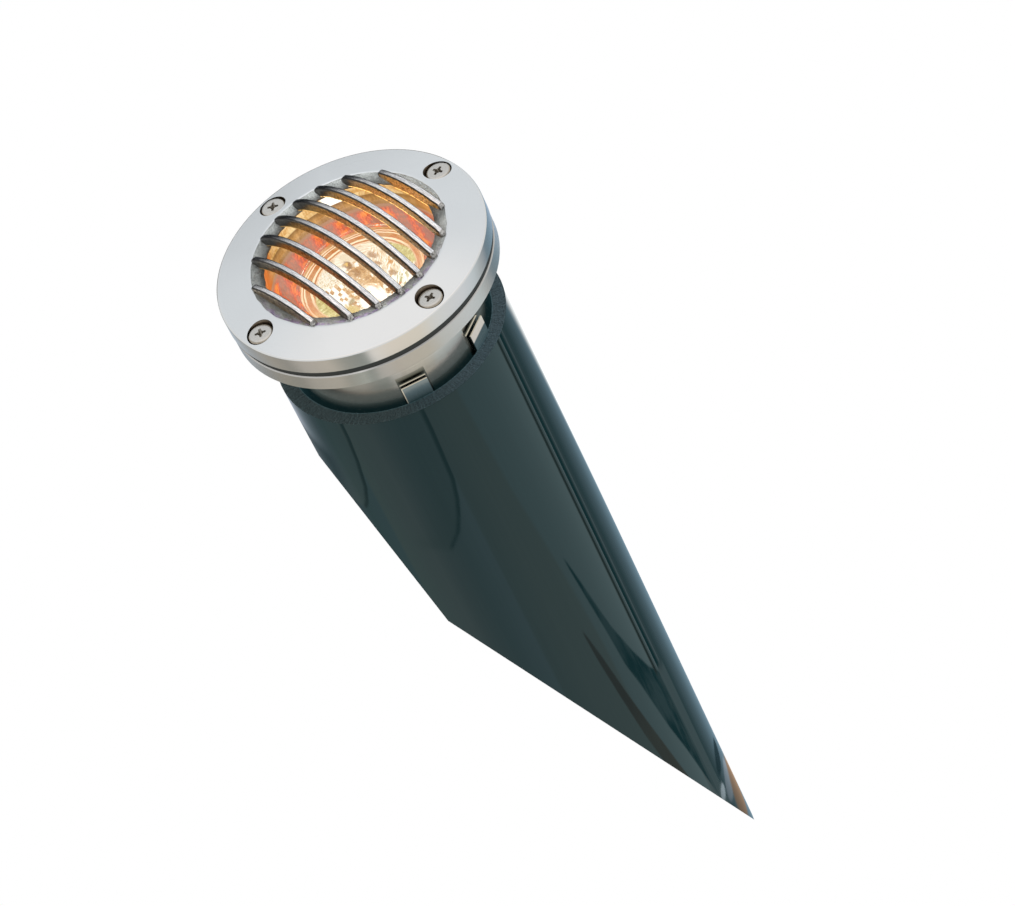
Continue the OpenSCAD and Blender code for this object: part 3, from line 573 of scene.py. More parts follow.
# The sides glow amber: a painted reflection of the lamp's light
amber_painted_glow = along_bar([(0.0, 0.0), (0.18, 0.02), (0.34, 0.8), (0.62, 1.0), (0.8, 0.35), (1.0, 0.0)])
amber_painted_glow = amber_painted_glow * (0.1 + t.step(y, -18, 30) * 0.9)
amber_painted_glow = amber_painted_glow * (0.15 + t.step(grain, 0.36, 0.62))
metal(t, Base_Color=t.times(side_tone, along), Roughness=0.3, Normal=t.bump(grain, 0.0003, 0.6),
      Emission_Color=(0.42, 0.19, 0.03), Emission_Strength=amber_painted_glow)
# The dark line below the top is painted shade
bar_line_mat = plain("bar_line", (0.012, 0.011, 0.01), (0.09, 0.085, 0.075), 0.35, 1.2, 1.0)
bar_edge_mat, t, mm, x, y, z, r, a = surface("bar_edge")
# The lower edge glows warm over the opening: painted light of the lamp
warm_painted_glow = t.step(x, 24, 12) * (t.step(r, 36, 31) * (0.15 + t.step(y, -8, 24) * 0.85))
warm_painted_glow = warm_painted_glow * t.step(t.noise(mm, 0.5, 3, 0.6), 0.3, 0.55)
metal(t, Base_Color=(0.2, 0.15, 0.09), Roughness=0.3, Emission_Color=(1.0, 0.58, 0.16),
      Emission_Strength=warm_painted_glow * 2.2)
bar_mat, t, mm, x, y, z, r, a = surface("bar_top")
strokes = t.noise(t.join(x * 0.3, y * 4, z * 0.4), 1.0, 4, 0.75)
top_tone = t.mix(t.step(strokes, 0.35, 0.65), (0.44, 0.44, 0.46), (0.95, 0.96, 0.98))
shade = along_bar([(0.0, 0.1), (0.12, 0.2), (0.26, 0.58), (0.45, 0.9), (0.7, 1.0), (0.93, 1.0),
                   (1.0, 0.9)])
metal(t, Base_Color=t.times(top_tone, shade), Roughness=0.24, Normal=t.bump(strokes, 0.00006, 0.6))
bar_end_mat, t, mm, x, y, z, r, a = surface("bar_end")
worn = t.noise(mm, 1.3, 3, 0.6)
# Ends painted dark on the left and lit on the right: painted light and shade
lit_end = t.step(x, 5, 10)
metal(t, Base_Color=t.mix(lit_end, t.mix(worn, (0.015, 0.018, 0.022), (0.11, 0.118, 0.128)),
                          t.mix(t.step(worn, 0.35, 0.65), (0.14, 0.135, 0.125), (0.5, 0.49, 0.47))),
      Roughness=0.34, Normal=t.bump(worn, 0.0002, 0.6))
# The screws' cross recess is painted darker than the head: painted shade
recess_mat = plain("recess_painted_shade", (0.14, 0.125, 0.105), (0.48, 0.45, 0.4), 0.4, 1.6, 1.0)


def thin_line(t, x, centre, half):
    """1 on a thin line at a place along x."""
    return 1 - t.step(abs(x - centre), half * 0.4, half)


FAR_TURN, FLAME_PITCH, RIM_UP, GOLD_UP, BRIGHT_UP = 155, 14.9, 29.7, 31.0, 36.7


def lit_wall(t, drop=0.0):
    """Inside of the housing, with the lamp's light painted on as a glow, with its radius and height.

    The colour goes by the turn from the far side and by the height at which the lens shows the wall: gold
    above the lamp's rim, and below it the red flames of its coated back, as painted reflection.
    """
    mm, x, y, z, r, a = t.polar()
    if drop:
        z = z - drop
    turn = t.math("WRAP", a - FAR_TURN, 180, -180)
    turn = turn - t.math("SINE", t.math("RADIANS", turn)) * 2.4
    up = z + 1.5
    drift = t.noise(t.join(turn * 0.06, z * 0.16, 3.0))
    streak = t.noise(t.join(turn * 0.16, z * 0.05, 0))
    fine = t.noise(t.join(turn * 0.8, z * 0.45, 0), 1.0, 4, 0.7)
    mixed = streak * 0.5 + fine * 0.5
    gold = t.mix(t.step(mixed, 0.34, 0.66), (0.44, 0.2, 0.055), (0.72, 0.4, 0.15))
    tone = t.ramp((up - 30) / 8, [(0.0, 0.95), (0.14, 0.8), (0.3, 0.84), (0.42, 1.08), (0.6, 1.05),
                                  (0.74, 0.72), (0.85, 0.55), (0.9, 0.8)])
    gold = t.times(gold, tone)
    gold = t.mix(t.step(turn, 50, 66), gold, (0.66, 0.17, 0.03))
    gold = t.mix(t.step(turn, -14, -34) * 0.4, gold, (0.36, 0.18, 0.05))
    gold = t.mix(t.step(turn, -52, -70) * 0.6, gold, (0.62, 0.27, 0.05))
    bright = t.mix(t.step(fine * 0.4 + drift * 0.6, 0.38, 0.6), (0.66, 0.34, 0.09), (0.98, 0.72, 0.36))
    far = t.step(abs(turn), 62, 34)
    bright = t.mix(far, t.mix(t.step(fine, 0.35, 0.65), (0.3, 0.14, 0.03), (0.66, 0.34, 0.07)), bright)
    hot = t.step(abs(turn + 2), 7.5, 4.5) * t.step(fine, 0.2, 0.4)
    bright = t.mix(hot, bright, (1.5, 1.45, 1.3))
    bright = t.mix(t.step(turn, 50, 60), bright, (0.62, 0.18, 0.03))
    phase = turn * (2 * math.pi / FLAME_PITCH) + (drift - 0.5) * 3.4
    crest = t.math("COSINE", phase) * 0.45 + ((drift - 0.5) * 1.8 + (fine - 0.5) * 0.9)
    flame = t.step(crest, -0.3, 0.4) * t.step(up, 30.2, 28.0)
    low = t.mix(drift, (0.42, 0.16, 0.105), (0.6, 0.27, 0.175))
    low = t.mix(t.step(fine, 0.42, 0.7), low, (0.78, 0.24, 0.12))
    hot_red = t.mix(t.step(fine, 0.32, 0.6), (0.62, 0.1, 0.05), (1.0, 0.17, 0.07))
    low = t.mix(flame, low, t.mix(t.step(crest, 0.15, 0.7), hot_red, (1.15, 0.34, 0.08)))
    low = t.mix(t.step(turn, -38, -62) * 0.5, low, (0.33, 0.1, 0.075))
    low = t.mix(t.step(z, 6, -6), low, (0.12, 0.05, 0.03))
    colour = t.mix(t.step(up, RIM_UP, RIM_UP + 0.5), low, (0.52, 0.27, 0.16))
    colour = t.mix(t.step(up, GOLD_UP, GOLD_UP + 0.6), colour, gold)
    return t.mix(t.step(up, BRIGHT_UP, BRIGHT_UP + 0.4), colour, bright), r, z


# The cap's wall in the opening glows with the lamp's painted light
lit_mat, t = material("lit_steel")
colour, _, _ = lit_wall(t)
metal(t, Base_Color=(0.1, 0.06, 0.03), Roughness=0.3, Emission_Color=colour, Emission_Strength=0.95)

# Housing: drawn steel with painted light and shade, painted dark patches on the flats behind the clips,
# a faint painted glow low on the outer wall, and the lamp's light painted inside
housing_mat, t = material("housing_steel")
colour, r, z = lit_wall(t)
below_ledge = t.step(r, CUP_BORE_R - 0.05, CUP_BORE_R + 0.05) * t.step(z, LEDGE_Z + 0.05, LEDGE_Z)
inside = t.step(r, SEAT_R + 0.1, SEAT_R) * (1 - below_ledge) * t.step(z, CUP_FLOOR_Z, CUP_FLOOR_Z + 0.1)
mm, x, y, z, r, a = t.polar()
grain = t.noise(t.join(a * 0.02, 0, z * 6), 1.0, 3, 0.7)
base = t.mix(grain, (0.6, 0.59, 0.565), (0.7, 0.69, 0.665))
shade = t.ramp((a + 180) / 360, [(0.0, 0.9), (0.2, 0.5), (0.235, 0.98), (0.37, 1.0), (0.388, 1.3),
                                 (0.396, 1.0), (0.408, 0.76), (0.466, 0.8), (0.5, 0.9), (0.53, 0.97),
                                 (0.56, 1.0), (1.0, 0.9)])
shade = shade * (1 - t.step(z, 33.0, 33.3) * 0.35)
shade = shade * (1 - t.step(z, 27.15, 26.9) * 0.4)
base = t.mix(t.step(z, 26.7, 26.8), base, t.times(base, shade))
# Painted shade: the body darker towards its bottom
fall = t.ramp((z - 2) / 12, [(0.0, 0.86), (0.25, 0.88), (0.42, 0.74), (0.58, 0.68), (0.75, 0.8),
                             (0.92, 0.9), (1.0, 1.0)])
base = t.mix(t.step(r, 37.6, 37.4), base, t.times(t.times(base, (1.0, 0.965, 0.945)), fall))
# Painted shade on the flats behind the clips
painted_pocket_shade = t.step(r, CUP_R - 0.04, CUP_R - 0.2) * t.step(r, 35.4, 35.6)
painted_pocket_shade = painted_pocket_shade * (t.step(z, 12.5, 8.8) * t.step(z, -15, -14))
base = t.mix(painted_pocket_shade, base, t.mix(t.step(z, 8, 12), (0.1, 0.115, 0.105), (0.22, 0.22, 0.19)))
# Glow: the lamp's painted light inside, and a faint painted glow low on the outer wall
metal(t, Base_Color=t.mix(inside, base, (0.1, 0.06, 0.03)), Roughness=0.15 + grain * 0.07,
      Emission_Color=t.mix(inside, (0.052, 0.056, 0.05), colour), Normal=t.bump(grain, 0.00002, 0.3),
      Emission_Strength=t.math("MAXIMUM", inside * 0.95,
                               t.step(r, 36.0, 36.3) * (t.step(z, -1, 5) * t.step(z, 10.5, 6))))


# Building of pieces, in millimetres
def grid(rows, seg, mats, closed_rows=False):
    """Faces between rows of points that run round the axis."""
    faces, which = [], []
    for j in range(len(rows) - (0 if closed_rows else 1)):
        k = (j + 1) % len(rows)
        for i in range(seg):
            n = (i + 1) % seg
            faces.append(quad(j * seg, k * seg, i, n))
            which.append(mats[j])
    return [v for row in rows for v in row], faces, which


def build(name, verts, faces, which, mats):
    """A smooth piece from points in millimetres, with a material for each face."""
    o = mesh_object(name, [(x * MM, y * MM, z * MM) for x, y, z in verts], faces, mats)
    for p, w in zip(o.data.polygons, which):
        p.use_smooth, p.material_index = True, w
    bm = bmesh.new()
    bm.from_mesh(o.data)
    bmesh.ops.recalc_face_normals(bm, faces=bm.faces)
    bm.to_mesh(o.data)
    bm.free()
    return o


def sharpen(o, degrees):
    """Keeps the edges sharp that turn by more than this angle."""
    o.data.set_sharp_from_angle(angle=math.radians(degrees))


def wobble(x, y, z, size, amount):
    """Noise of a grain size in millimetres."""
    return noise.noise(Vector((x / size, y / size, z / size))) * amount


def around(seg, point):
    """A row of points from a rule of the angle."""
    return [point(2 * math.pi * i / seg) for i in range(seg)]


# Cap casting: the rough ring, the machined face and the edge, from the opening outwards
SEG = 384
rows, mats = [], []


def same(value):
    """A rule that gives one value all round."""
    return lambda th: value


def ring_row(fr, fz, mat, rough=0.0):
    """Adds a row to the casting, from rules of the angle for its radius and height."""
    def point(th):
        c, sn = math.cos(th), math.sin(th)
        r, z = fr(th), fz(th)
        if rough:
            z += wobble(r * c, r * sn, z, 0.55, rough) + wobble(r * c, r * sn, z, 1.6, rough)
            r += wobble(r * c, r * sn, z + 9, 0.7, rough * 0.8)
        return (r * c, r * sn, z)
    rows.append(around(SEG, point))
    mats.append(mat)


def wave(th, often, level):
    """Noise that closes on itself round the axis."""
    return noise.noise(Vector((math.cos(th) * often, math.sin(th) * often, level)))


def edge_out(th):
    """Outer edge of the rough ring."""
    return RING_R + 0.28 * wave(th, 9, 0.3) + 0.1 * wave(th, 40, 2)


def edge_in(th):
    """Inner edge of the rough ring."""
    return OPEN_R + 0.3 * wave(th, 14, 5.0)


def face_z(r):
    """Height of the machined face, which falls towards the cap's edge."""
    return RING_Z - (r - RING_R) * SLOPE


def cast_z(u):
    """Height of the rough ring, rounded at its inner edge and a little hollow, at a share of its width."""
    rounded = 0.25 * (1 - min(1, u * 6)) ** 2
    hollow = 0.22 * math.sin(math.pi * min(1, u * 1.02)) ** 0.5
    return OPEN_Z - rounded + u * (RING_Z - OPEN_Z) - hollow - 0.12 * (u > 0.9)


CAST, FACE, SIDE, LIT = range(4)
RING_ROWS, CORNER_ROWS, CORNER = 16, 5, 0.6
ring_row(edge_in, same(REC_Z), LIT)
ring_row(edge_in, same(42.2), LIT, 0.05)
ring_row(edge_in, lambda th: 43.35 + 0.22 * wave(th, 24, 43.35), LIT, 0.05)
ring_row(edge_in, lambda th: 43.75 + 0.25 * wave(th, 30, 1), CAST, 0.08)
for k in range(RING_ROWS + 1):
    u = k / RING_ROWS
    ring_row(lambda th, u=u: edge_in(th) + 0.25 * (u > 0) + u * (edge_out(th) - edge_in(th) - 0.35),
             same(cast_z(u)), CAST, 0.17 if u < 0.97 else 0.1)
ring_row(lambda th: edge_out(th) - 0.02, lambda th: face_z(edge_out(th)) - 0.06, FACE)
ring_row(lambda th: edge_out(th) + 0.12, lambda th: face_z(edge_out(th) + 0.12), FACE)
for r in (38.2, 42, 46, 49, FACE_R - 0.1):
    ring_row(same(r), same(face_z(r)), FACE)
for k in range(CORNER_ROWS + 1):
    q = math.radians(90 * k / CORNER_ROWS)
    ring_row(same(FACE_R + CORNER * math.sin(q)), same(FACE_Z - CORNER + CORNER * math.cos(q)), SIDE)
ring_row(same(CAP_R), same(CAP_LOW + 0.25), SIDE)
ring_row(same(CAP_R - 0.25), same(CAP_LOW), FACE)
ring_row(same(REC_R), same(CAP_LOW), LIT)
ring_row(same(REC_R), same(REC_Z), LIT)
verts, faces, which = grid(rows, SEG, mats, True)
cap = build("cap_casting", verts, faces, which, [cast_mat, face_mat, side_mat, lit_mat])
sharpen(cap, 40)


def turned_rows(profile, centre, seg):
    """Rows of points about an upright axis, from (radius, height) points."""
    return [around(seg, lambda th, r=r, z=z: (centre[0] + r * math.cos(th), centre[1] + r * math.sin(th), z))
            for r, z in profile]


def tool(name, rows, mat):
    """A closed body through rows of points, for a boolean cut."""
    seg = len(rows[0])
    verts, faces, _ = grid(rows, seg, [0] * len(rows))
    faces += [tuple(range(seg)), tuple(range(len(verts) - seg, len(verts)))]
    return build(name, verts, faces, [0] * len(faces), [mat])


def cut(o, tools):
    """Cuts the tools out of a piece and deletes them."""
    for body in tools:
        m = o.modifiers.new("cut", "BOOLEAN")
        m.operation, m.solver, m.object, m.material_mode = "DIFFERENCE", "EXACT", body, "TRANSFER"
    me = bpy.data.meshes.new_from_object(o.evaluated_get(bpy.context.evaluated_depsgraph_get()))
    o.modifiers.clear()
    o.data = me
    for body in tools:
        bpy.data.objects.remove(body)


PLACES = [(SCREW_R * math.cos(math.pi * i / 2), SCREW_R * math.sin(math.pi * i / 2)) for i in range(4)]
HOLE_R, WORN_R, WELL_SEGS = SHANK_R + 0.2, WELL_R + 0.12, 96
well = [(HOLE_R, CAP_LOW - 1), (HOLE_R, SEAT), (WELL_R, SEAT), (WELL_R, 43.9), (WORN_R, 44.3), (WORN_R, 46)]
cut(cap, [tool("well", turned_rows(well, c, WELL_SEGS), well_mat) for c in PLACES])
sharpen(cap, 32)

BAR_TOP, BAR_SIDE, BAR_LINE, BAR_EDGE, BAR_END = range(5)


def bar_section(h):
    """Points across a bar of height h, from its lower left edge over its top to its lower right edge."""
    w = BAR_HALF
    crown = [(0.94, -0.34), (0.78, -0.12), (0.52, -0.02)]
    left = [(-w * 0.8, -h), (-w, -h + 0.25), (-w, -h + 0.6), (-w, -h * 0.6), (-w, -h * 0.36), (-w, -0.62)]
    right = [(w, -0.62), (w, -h * 0.36), (w, -h * 0.6), (w, -h + 0.35), (w * 0.8, -h)]
    over = [(-w * v, z) for v, z in crown] + [(0, 0.0)] + [(w * v, z) for v, z in reversed(crown)]
    return left + over + right


def bar_part(i, at_end):
    """Material of the face after point i of the section."""
    if at_end and 3 <= i <= 14:
        return BAR_END
    if 8 <= i <= 10:
        return BAR_TOP
    if i in (6, 7, 11):
        return BAR_LINE
    return BAR_EDGE if i <= 1 else BAR_SIDE


def bars():
    """Arched bars: flat polished tops, cast sides, rounded ends that stand on the ring."""
    verts, faces, which = [], [], []
    dome_z = RING_Z + BAR_STAND - math.sqrt(DOME_R ** 2 - BAR_END_R ** 2)
    for b in range(BARS):
        y0 = (b - (BARS - 1) / 2) * BAR_PITCH
        x_end = math.sqrt(BAR_END_R ** 2 - y0 ** 2)
        xs = [x_end - BAR_ROUND * (1 - math.cos(math.radians(90 * k / 6))) for k in range(7)]
        steps = max(24, int(x_end * 1.6))
        inner = [(x_end - BAR_ROUND) * math.cos(math.pi * k / steps) for k in range(steps + 1)][1:-1]
        xs = xs + inner + [-v for v in reversed(xs)]
        sect = bar_section(BAR_H + (OUTER_BAR_MORE if b in (0, BARS - 1) else 0))
        n0, n = len(verts), len(sect)
        for xx in xs:
            e = x_end - abs(xx)
            top = dome_z + math.sqrt(DOME_R ** 2 - y0 ** 2 - xx ** 2)
            q = max(0.0, 1 - e / BAR_ROUND)
            drop = BAR_ROUND * (1 - math.sqrt(max(0.0, 1 - q * q)))
            slim = 1 - 0.22 * q * q
            for v, zz in sect:
                yy, up = y0 + v * slim, top + zz - drop * max(0, 1 + zz / 3)
                k = 0.1 if zz < -0.3 or e < 2.5 else 0.03
                yy += wobble(xx, yy, up, 0.8, k) + wobble(xx + 5, yy, up, 2.4, k)
                up += wobble(xx, yy + 7, up, 1.2, k * (0.8 if zz > -0.5 else 0.3))
                verts.append((xx, yy, max(up, REC_Z + 0.05)))
        for j in range(len(xs) - 1):
            at_end = min(x_end - abs(xs[j]), x_end - abs(xs[j + 1])) < 1.0
            for i in range(n):
                k = (i + 1) % n
                faces.append(quad(n0 + j * n, n0 + (j + 1) * n, i, k))
                which.append(bar_part(i, at_end))
        for j in (0, len(xs) - 1):
            faces.append(tuple(n0 + j * n + i for i in range(n)))
            which.append(BAR_END)
    o = build("cap_bars", verts, faces, which,
              [bar_mat, bar_side_mat, bar_line_mat, bar_edge_mat, bar_end_mat])
    sharpen(o, 50)
    return o


grille = bars()
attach(cap, "fixture")
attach(grille, "fixture")
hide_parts("grille_cap")
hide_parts("grille_cap")

# Cap screws: turned heads with a cross recess, each at its own angle
HEAD_SEGS, CONE_SEGS, AXIS_R = 72, 16, 0.001
CROWN = ((AXIS_R, 0), (1.4, 0), (3.3, 0.03), (3.9, 0.1), (4.3, 0.24), (4.6, 0.5), (4.82, 0.95),
         (HEAD_R, 1.5))
BLADE = ((0.5, 2.25, 0.6), (-0.25, 2.05, 0.48), (-1.7, 0.9, 0.3))
BLADE_ROUND = ((-1, -0.7), (-0.86, -1), (0.86, -1), (1, -0.7), (1, 0.7), (0.86, 1), (-0.86, 1), (-1, 0.7))
CONE = ((1.5, HEAD_TOP + 0.4), (1.15, HEAD_TOP - 0.1), (0.6, HEAD_TOP - 1.7))
shape = [(r, HEAD_TOP - drop) for r, drop in CROWN]
shape += [(HEAD_R, SEAT + 0.15), (HEAD_R - 0.15, SEAT), (SHANK_R, SEAT), (SHANK_R, TIP_Z + 0.294),
          (TIP_R, TIP_Z), (AXIS_R, TIP_Z)]
for i, (c, spin) in enumerate(zip(PLACES, (21, 15, 46, 57))):
    verts, faces, which = grid(turned_rows(shape, c, HEAD_SEGS), HEAD_SEGS, [0] * len(shape))
    head = build(f"cap_screw_{i + 1}", verts, faces, which, [head_mat, recess_mat])
    tools = []
    for arm in (0, 90):
        th = math.radians(spin + arm)
        u, v = Vector((math.cos(th), math.sin(th), 0)), Vector((-math.sin(th), math.cos(th), 0))
        rows = []
        for rise, length, width in BLADE:
            centre = Vector((*c, HEAD_TOP + rise))
            rows.append([tuple(centre + u * length * su + v * width * sv) for su, sv in BLADE_ROUND])
        tools.append(tool("blade", rows, recess_mat))
    tools.append(tool("cone", turned_rows(CONE, c, CONE_SEGS), recess_mat))
    cut(head, tools)
    sharpen(head, 30)
    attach(head, "fixture")
    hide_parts("cap_screws")


# Lamp: facetted bowl, coated back and rim
def patch(t, u, v, cx, cy, rx, ry, soft=0.25):
    """1 inside an oval, 0 outside."""
    du, dv = (u - cx) / rx, (v - cy) / ry
    d = t.math("SQRT", du * du + dv * dv)
    return t.step(d, 1 + soft, 1 - soft)


VIEW_X, VIEW_Y, SHIFT_X, SHIFT_Y = 0.929, 0.433, 1.4, 0.65


def lamp_light(t):
    """Glow of the facets, laid out in the plane of the lamp's front glass as the lens shows it."""
    mm, x, y, z, r, a = t.polar()
    depth = GLASS_Z - z
    u = x + depth * VIEW_X - SHIFT_X
    v = y - depth * VIEW_Y + SHIFT_Y
    drift = t.add("ShaderNodeSeparateColor", Color=t.noise(t.join(u, v, 0), 0.3, 3, 0.6, True))
    wx, wy, wz = (Value(t, out) for out in drift.outputs)
    u2 = u + (wx - 0.5) * 3.5
    v2 = v + (wy - 0.5) * 3.5
    rho = t.math("SQRT", u * u + v * v)
    psi = t.math("ARCTAN2", v, u) * DEGREES
    fall, rise = u2 + v2, u2 - v2
    row = t.math("FLOOR", (r - (NECK_R - WALL)) / ROW_STEP)
    col = t.math("FLOOR", a / (360 / FACET_COLS))
    white_noise = t.add("ShaderNodeTexWhiteNoise", _noise_dimensions="2D", Vector=t.join(row, col, 0))
    chance = Value(t, white_noise.outputs["Value"])
    fleck = t.noise(t.join(u, v, 2), 0.8, 3, 0.65)
    down = t.noise(t.join(fall * 1.1, rise * 0.1, 4), 1.0, 3, 0.7)
    up = t.noise(t.join(rise * 1.1, fall * 0.1, 7), 1.0, 3, 0.7)
    mesh = t.noise(t.join(fall * 2.2, rise * 0.4, 9), 1.0, 3, 0.7)
    white, cream, tan, brown = (1.35, 1.3, 1.2), (1.0, 0.87, 0.66), (0.78, 0.47, 0.22), (0.55, 0.28, 0.11)
    checks = chance * 0.6 + fleck * 0.5
    c = t.ramp(checks, [(0.3, brown), (0.42, tan), (0.5, cream), (0.58, white)])
    mottle = t.ramp(fleck * 0.8 + chance * 0.2,
                    [(0.34, brown), (0.48, tan), (0.58, (0.9, 0.62, 0.34)), (0.66, white)])
    strokes_up = t.ramp(up, [(0.32, (0.9, 0.58, 0.34)), (0.44, cream), (0.6, (1.25, 1.15, 0.98))])
    strokes_down = t.ramp(down, [(0.34, tan), (0.44, (0.92, 0.66, 0.4)), (0.5, cream), (0.58, white)])
    lattice = t.ramp(mesh, [(0.34, (0.62, 0.42, 0.2)), (0.44, (0.9, 0.74, 0.48)), (0.54, (1.2, 1.15, 1.05)),
                            (0.7, (0.9, 0.9, 0.86))])
    olive = t.ramp(t.noise(t.join(u, v * 0.45, 5), 1.1, 4, 0.7),
                   [(0.34, (0.46, 0.38, 0.12)), (0.48, (0.62, 0.54, 0.19)), (0.6, (0.76, 0.7, 0.3)),
                    (0.72, (1.1, 1.1, 0.8))])
    pale_lines = t.mix(t.step(down, 0.5, 0.44), white, (0.55, 0.5, 0.22))
    areas = (
        (strokes_up, -13, 11, 6.5, 6), (strokes_up, -15, 3, 4.5, 4.5), (strokes_down, 2, 11, 12, 5),
        (pale_lines, 12.5, 10.5, 4.5, 6), (mottle, -1.5, 1.2, 10, 3.8), (cream, -14.5, 3.6, 3, 2),
        (lattice, -13.5, -7.5, 5, 6), (mottle, 2.5, -7, 4.5, 2.4), ((0.8, 0.62, 0.26), 7, -12.6, 4, 1.6),
        (olive, -3.5, -19.5, 12, 5), (olive, 4.5, 18.2, 10.5, 3.4), ((0.58, 0.26, 0.17), 14.5, 18, 3.2, 4))
    for tone, *oval in areas:
        c = t.mix(patch(t, u2, v2, *oval), c, tone)
    spots = (((0.5, 0.29, 0.16), -6.5, 10.3, 2.4, 1.2), ((0.55, 0.3, 0.15), -1.8, 8.3, 1.6, 0.9),
             ((0.75, 0.34, 0.1), 2.2, 11.2, 1.1, 0.7), ((0.52, 0.3, 0.15), 6.6, 8.2, 1.7, 1.1),
             ((0.32, 0.14, 0.03), -11.2, 1.5, 2.4, 1.5), ((1.0, 0.66, 0.22), -12.3, 1.2, 0.8, 0.7),
             ((0.44, 0.22, 0.08), -5.5, 0.6, 2.2, 1.4), ((0.46, 0.36, 0.18), 3.0, -10.2, 1.4, 1.2),
             ((0.7, 0.3, 0.14), 13.3, 6.0, 0.8, 0.7), (white, 10.2, -2.3, 5.6, 1.9),
             (white, 9.5, -8.0, 4.2, 1.9))
    for tone, *oval in spots:
        c = t.mix(patch(t, u2, v2, *oval, 0.35) * 0.9, c, tone)
    left = t.step(abs(t.math("WRAP", psi - 165, 180, -180)), 95, 60)
    wob = rho + (wz - 0.5) * 0.7
    arcs = t.mix(t.step(t.noise(t.join(psi * 0.05, rho * 0.35, 8)), 0.36, 0.64),
                 (0.66, 0.2, 0.05), (0.7, 0.35, 0.14))
    rings = ((25.6, 0.3, 0.75), (23.6, 0.3, 0.6), (22.6, 0.3, 0.85), (20.1, 0.5, 0.9), (18.6, 0.45, 0.6))
    for place, half, glow in rings:
        ring = thin_line(t, wob, place, half * 1.15) * (glow * (0.35 + left * 0.65))
        arcs = t.mix(ring, arcs, (1.3, 1.1, 0.8))
    bound = 19.9 + left * -1.7
    c = t.mix(t.step(wob - bound, -0.2, 0.5), c, arcs)
    wall, _, _ = lit_wall(t, drop=4.0)
    return t.mix(t.step(rho, 25.8, 26.2), c, wall)


facet_mat, t = material("reflector_facets")
principled(t, Base_Color=(0.14, 0.11, 0.08), Metallic=0.7, Roughness=0.12, Emission_Color=lamp_light(t),
           Emission_Strength=0.92)

rim_mat, t = material("reflector_glass")
colour, _, _ = lit_wall(t, drop=4.0)
principled(t, Base_Color=(0.16, 0.06, 0.03), Roughness=0.08, Emission_Color=colour, Emission_Strength=0.9)
coat_mat, t, mm, x, y, z, r, a = surface("reflector_coat")
film = t.add("ShaderNodeLayerWeight", Blend=0.4).outputs["Facing"]
principled(t, Base_Color=t.ramp(film, [(0.0, (0.4, 0.1, 0.05)), (0.4, (0.5, 0.16, 0.3)),
                                       (0.7, (0.14, 0.2, 0.55)), (1.0, (0.3, 0.5, 0.6))]), Metallic=0.9,
           Roughness=0.15, Emission_Color=(0.9, 0.16, 0.04), Emission_Strength=0.12)
quartz_mat, t = material("capsule_quartz")
principled(t, Base_Color=(0.3, 0.29, 0.27), Roughness=0.05, Emission_Color=lamp_light(t),
           Emission_Strength=0.95)


def bowl_row(k, inset):
    """Radius and height of the bowl's row k, drawn in from its outline by an inset."""
    share = (k / FACET_ROWS) ** (1 / POWER)
    return NECK_R - inset + (LAMP_R - NECK_R) * k / FACET_ROWS, BOWL_LOW + (BOWL_TOP - BOWL_LOW) * share


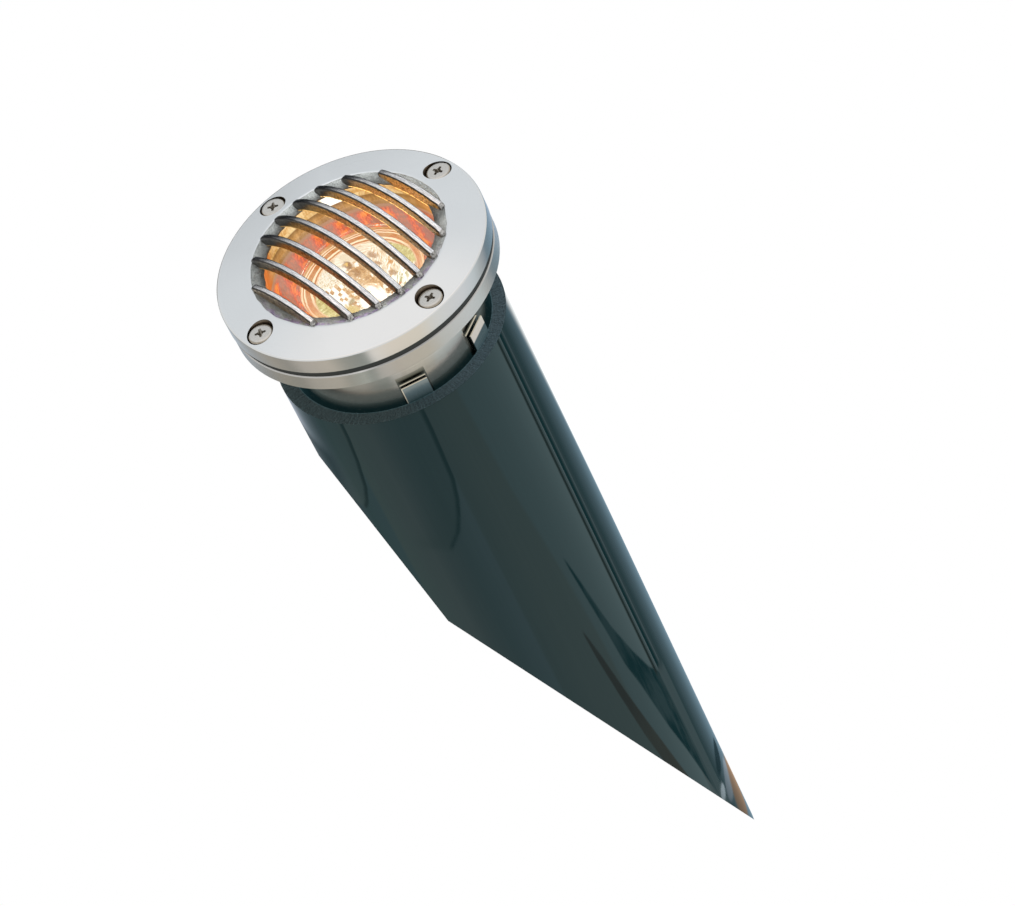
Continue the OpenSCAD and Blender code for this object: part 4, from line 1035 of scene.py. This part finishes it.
FACETS, RIM, COAT = range(3)
verts, faces, which = [], [], []
for row in turned_rows([bowl_row(k, WALL) for k in range(FACET_ROWS + 1)], (0, 0), FACET_COLS):
    verts += row
for k in range(FACET_ROWS):
    (r0, z0), (r1, z1) = bowl_row(k, WALL), bowl_row(k + 1, WALL)
    for i in range(FACET_COLS):
        n = (i + 1) % FACET_COLS
        th = 2 * math.pi * (i + 0.5) / FACET_COLS
        rc, zc = (r0 + r1) / 2 - 0.1, (z0 + z1) / 2 + 0.13
        verts.append((rc * math.cos(th), rc * math.sin(th), zc))
        m = len(verts) - 1
        q = quad(k * FACET_COLS, (k + 1) * FACET_COLS, i, n)
        for e in range(4):
            faces.append((q[e], q[(e + 1) % 4], m))
            which.append(FACETS)
shell = [(23.5, 27.3), (23.5, 27.9), (23.75, 28.0), (23.75, GLASS_Z), (24.2, GLASS_Z), (24.2, 29.85)]
shell += [(24.35, LAMP_Z), (24.8, LAMP_Z), (LAMP_R, 29.8), (LAMP_R, BOWL_TOP)]
shell += [bowl_row(k, 0) for k in range(FACET_ROWS - 1, -1, -1)]
shell += [(NECK_R, NECK_Z + 0.2), (NECK_R - 0.2, NECK_Z), (NECK_R - WALL, NECK_Z)]
first = len(verts)
for row in turned_rows(shell, (0, 0), FACET_COLS):
    verts += row
# From the facets' last row over rim and back to their first row
starts = [FACET_ROWS * FACET_COLS] + [first + FACET_COLS * j for j in range(len(shell))] + [0]
for j in range(len(starts) - 1):
    for i in range(FACET_COLS):
        n = (i + 1) % FACET_COLS
        faces.append(quad(starts[j], starts[j + 1], i, n))
        which.append(FACETS if j < 4 or j == len(starts) - 2 else RIM if j < 10 else COAT)
bowl = build("reflector_bowl", verts, faces, which, [facet_mat, rim_mat, coat_mat])
sharpen(bowl, 12)
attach(bowl, "lamp")
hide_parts("lamp_reflector")

# Materials of the solids kept from the CAD
for mat, nodes in (
        (sleeve_mat, "sleeve"), (housing_mat, "housing_cup"), (glass_mat, "lens"), (face_mat, "grille_cap"),
        (rubber_mat, "flange_gasket lens_seal gland_washer gland_seal"),
        (screw_mat, "cap_screws lamp_pins socket_screws tilt_screws bracket_screws"),
        (clip_mat, "spring_clip_1 spring_clip_2 spring_clip_3 spring_clip_4"),
        (glow_mat, "lamp_reflector lamp_filament"), (lamp_glass_mat, "lamp_front_glass"),
        (quartz_mat, "lamp_capsule"), (ceramic_mat, "lamp_base lamp_socket"),
        (brass_mat, "socket_contacts gland_body gland_locknut gland_nut"),
        (inner_mat, "socket_cradle lamp_bracket"), (sleeving_mat, "socket_leads"),
        (connector_mat, "wire_connectors")):
    for node in nodes.split():
        use(node, mat)
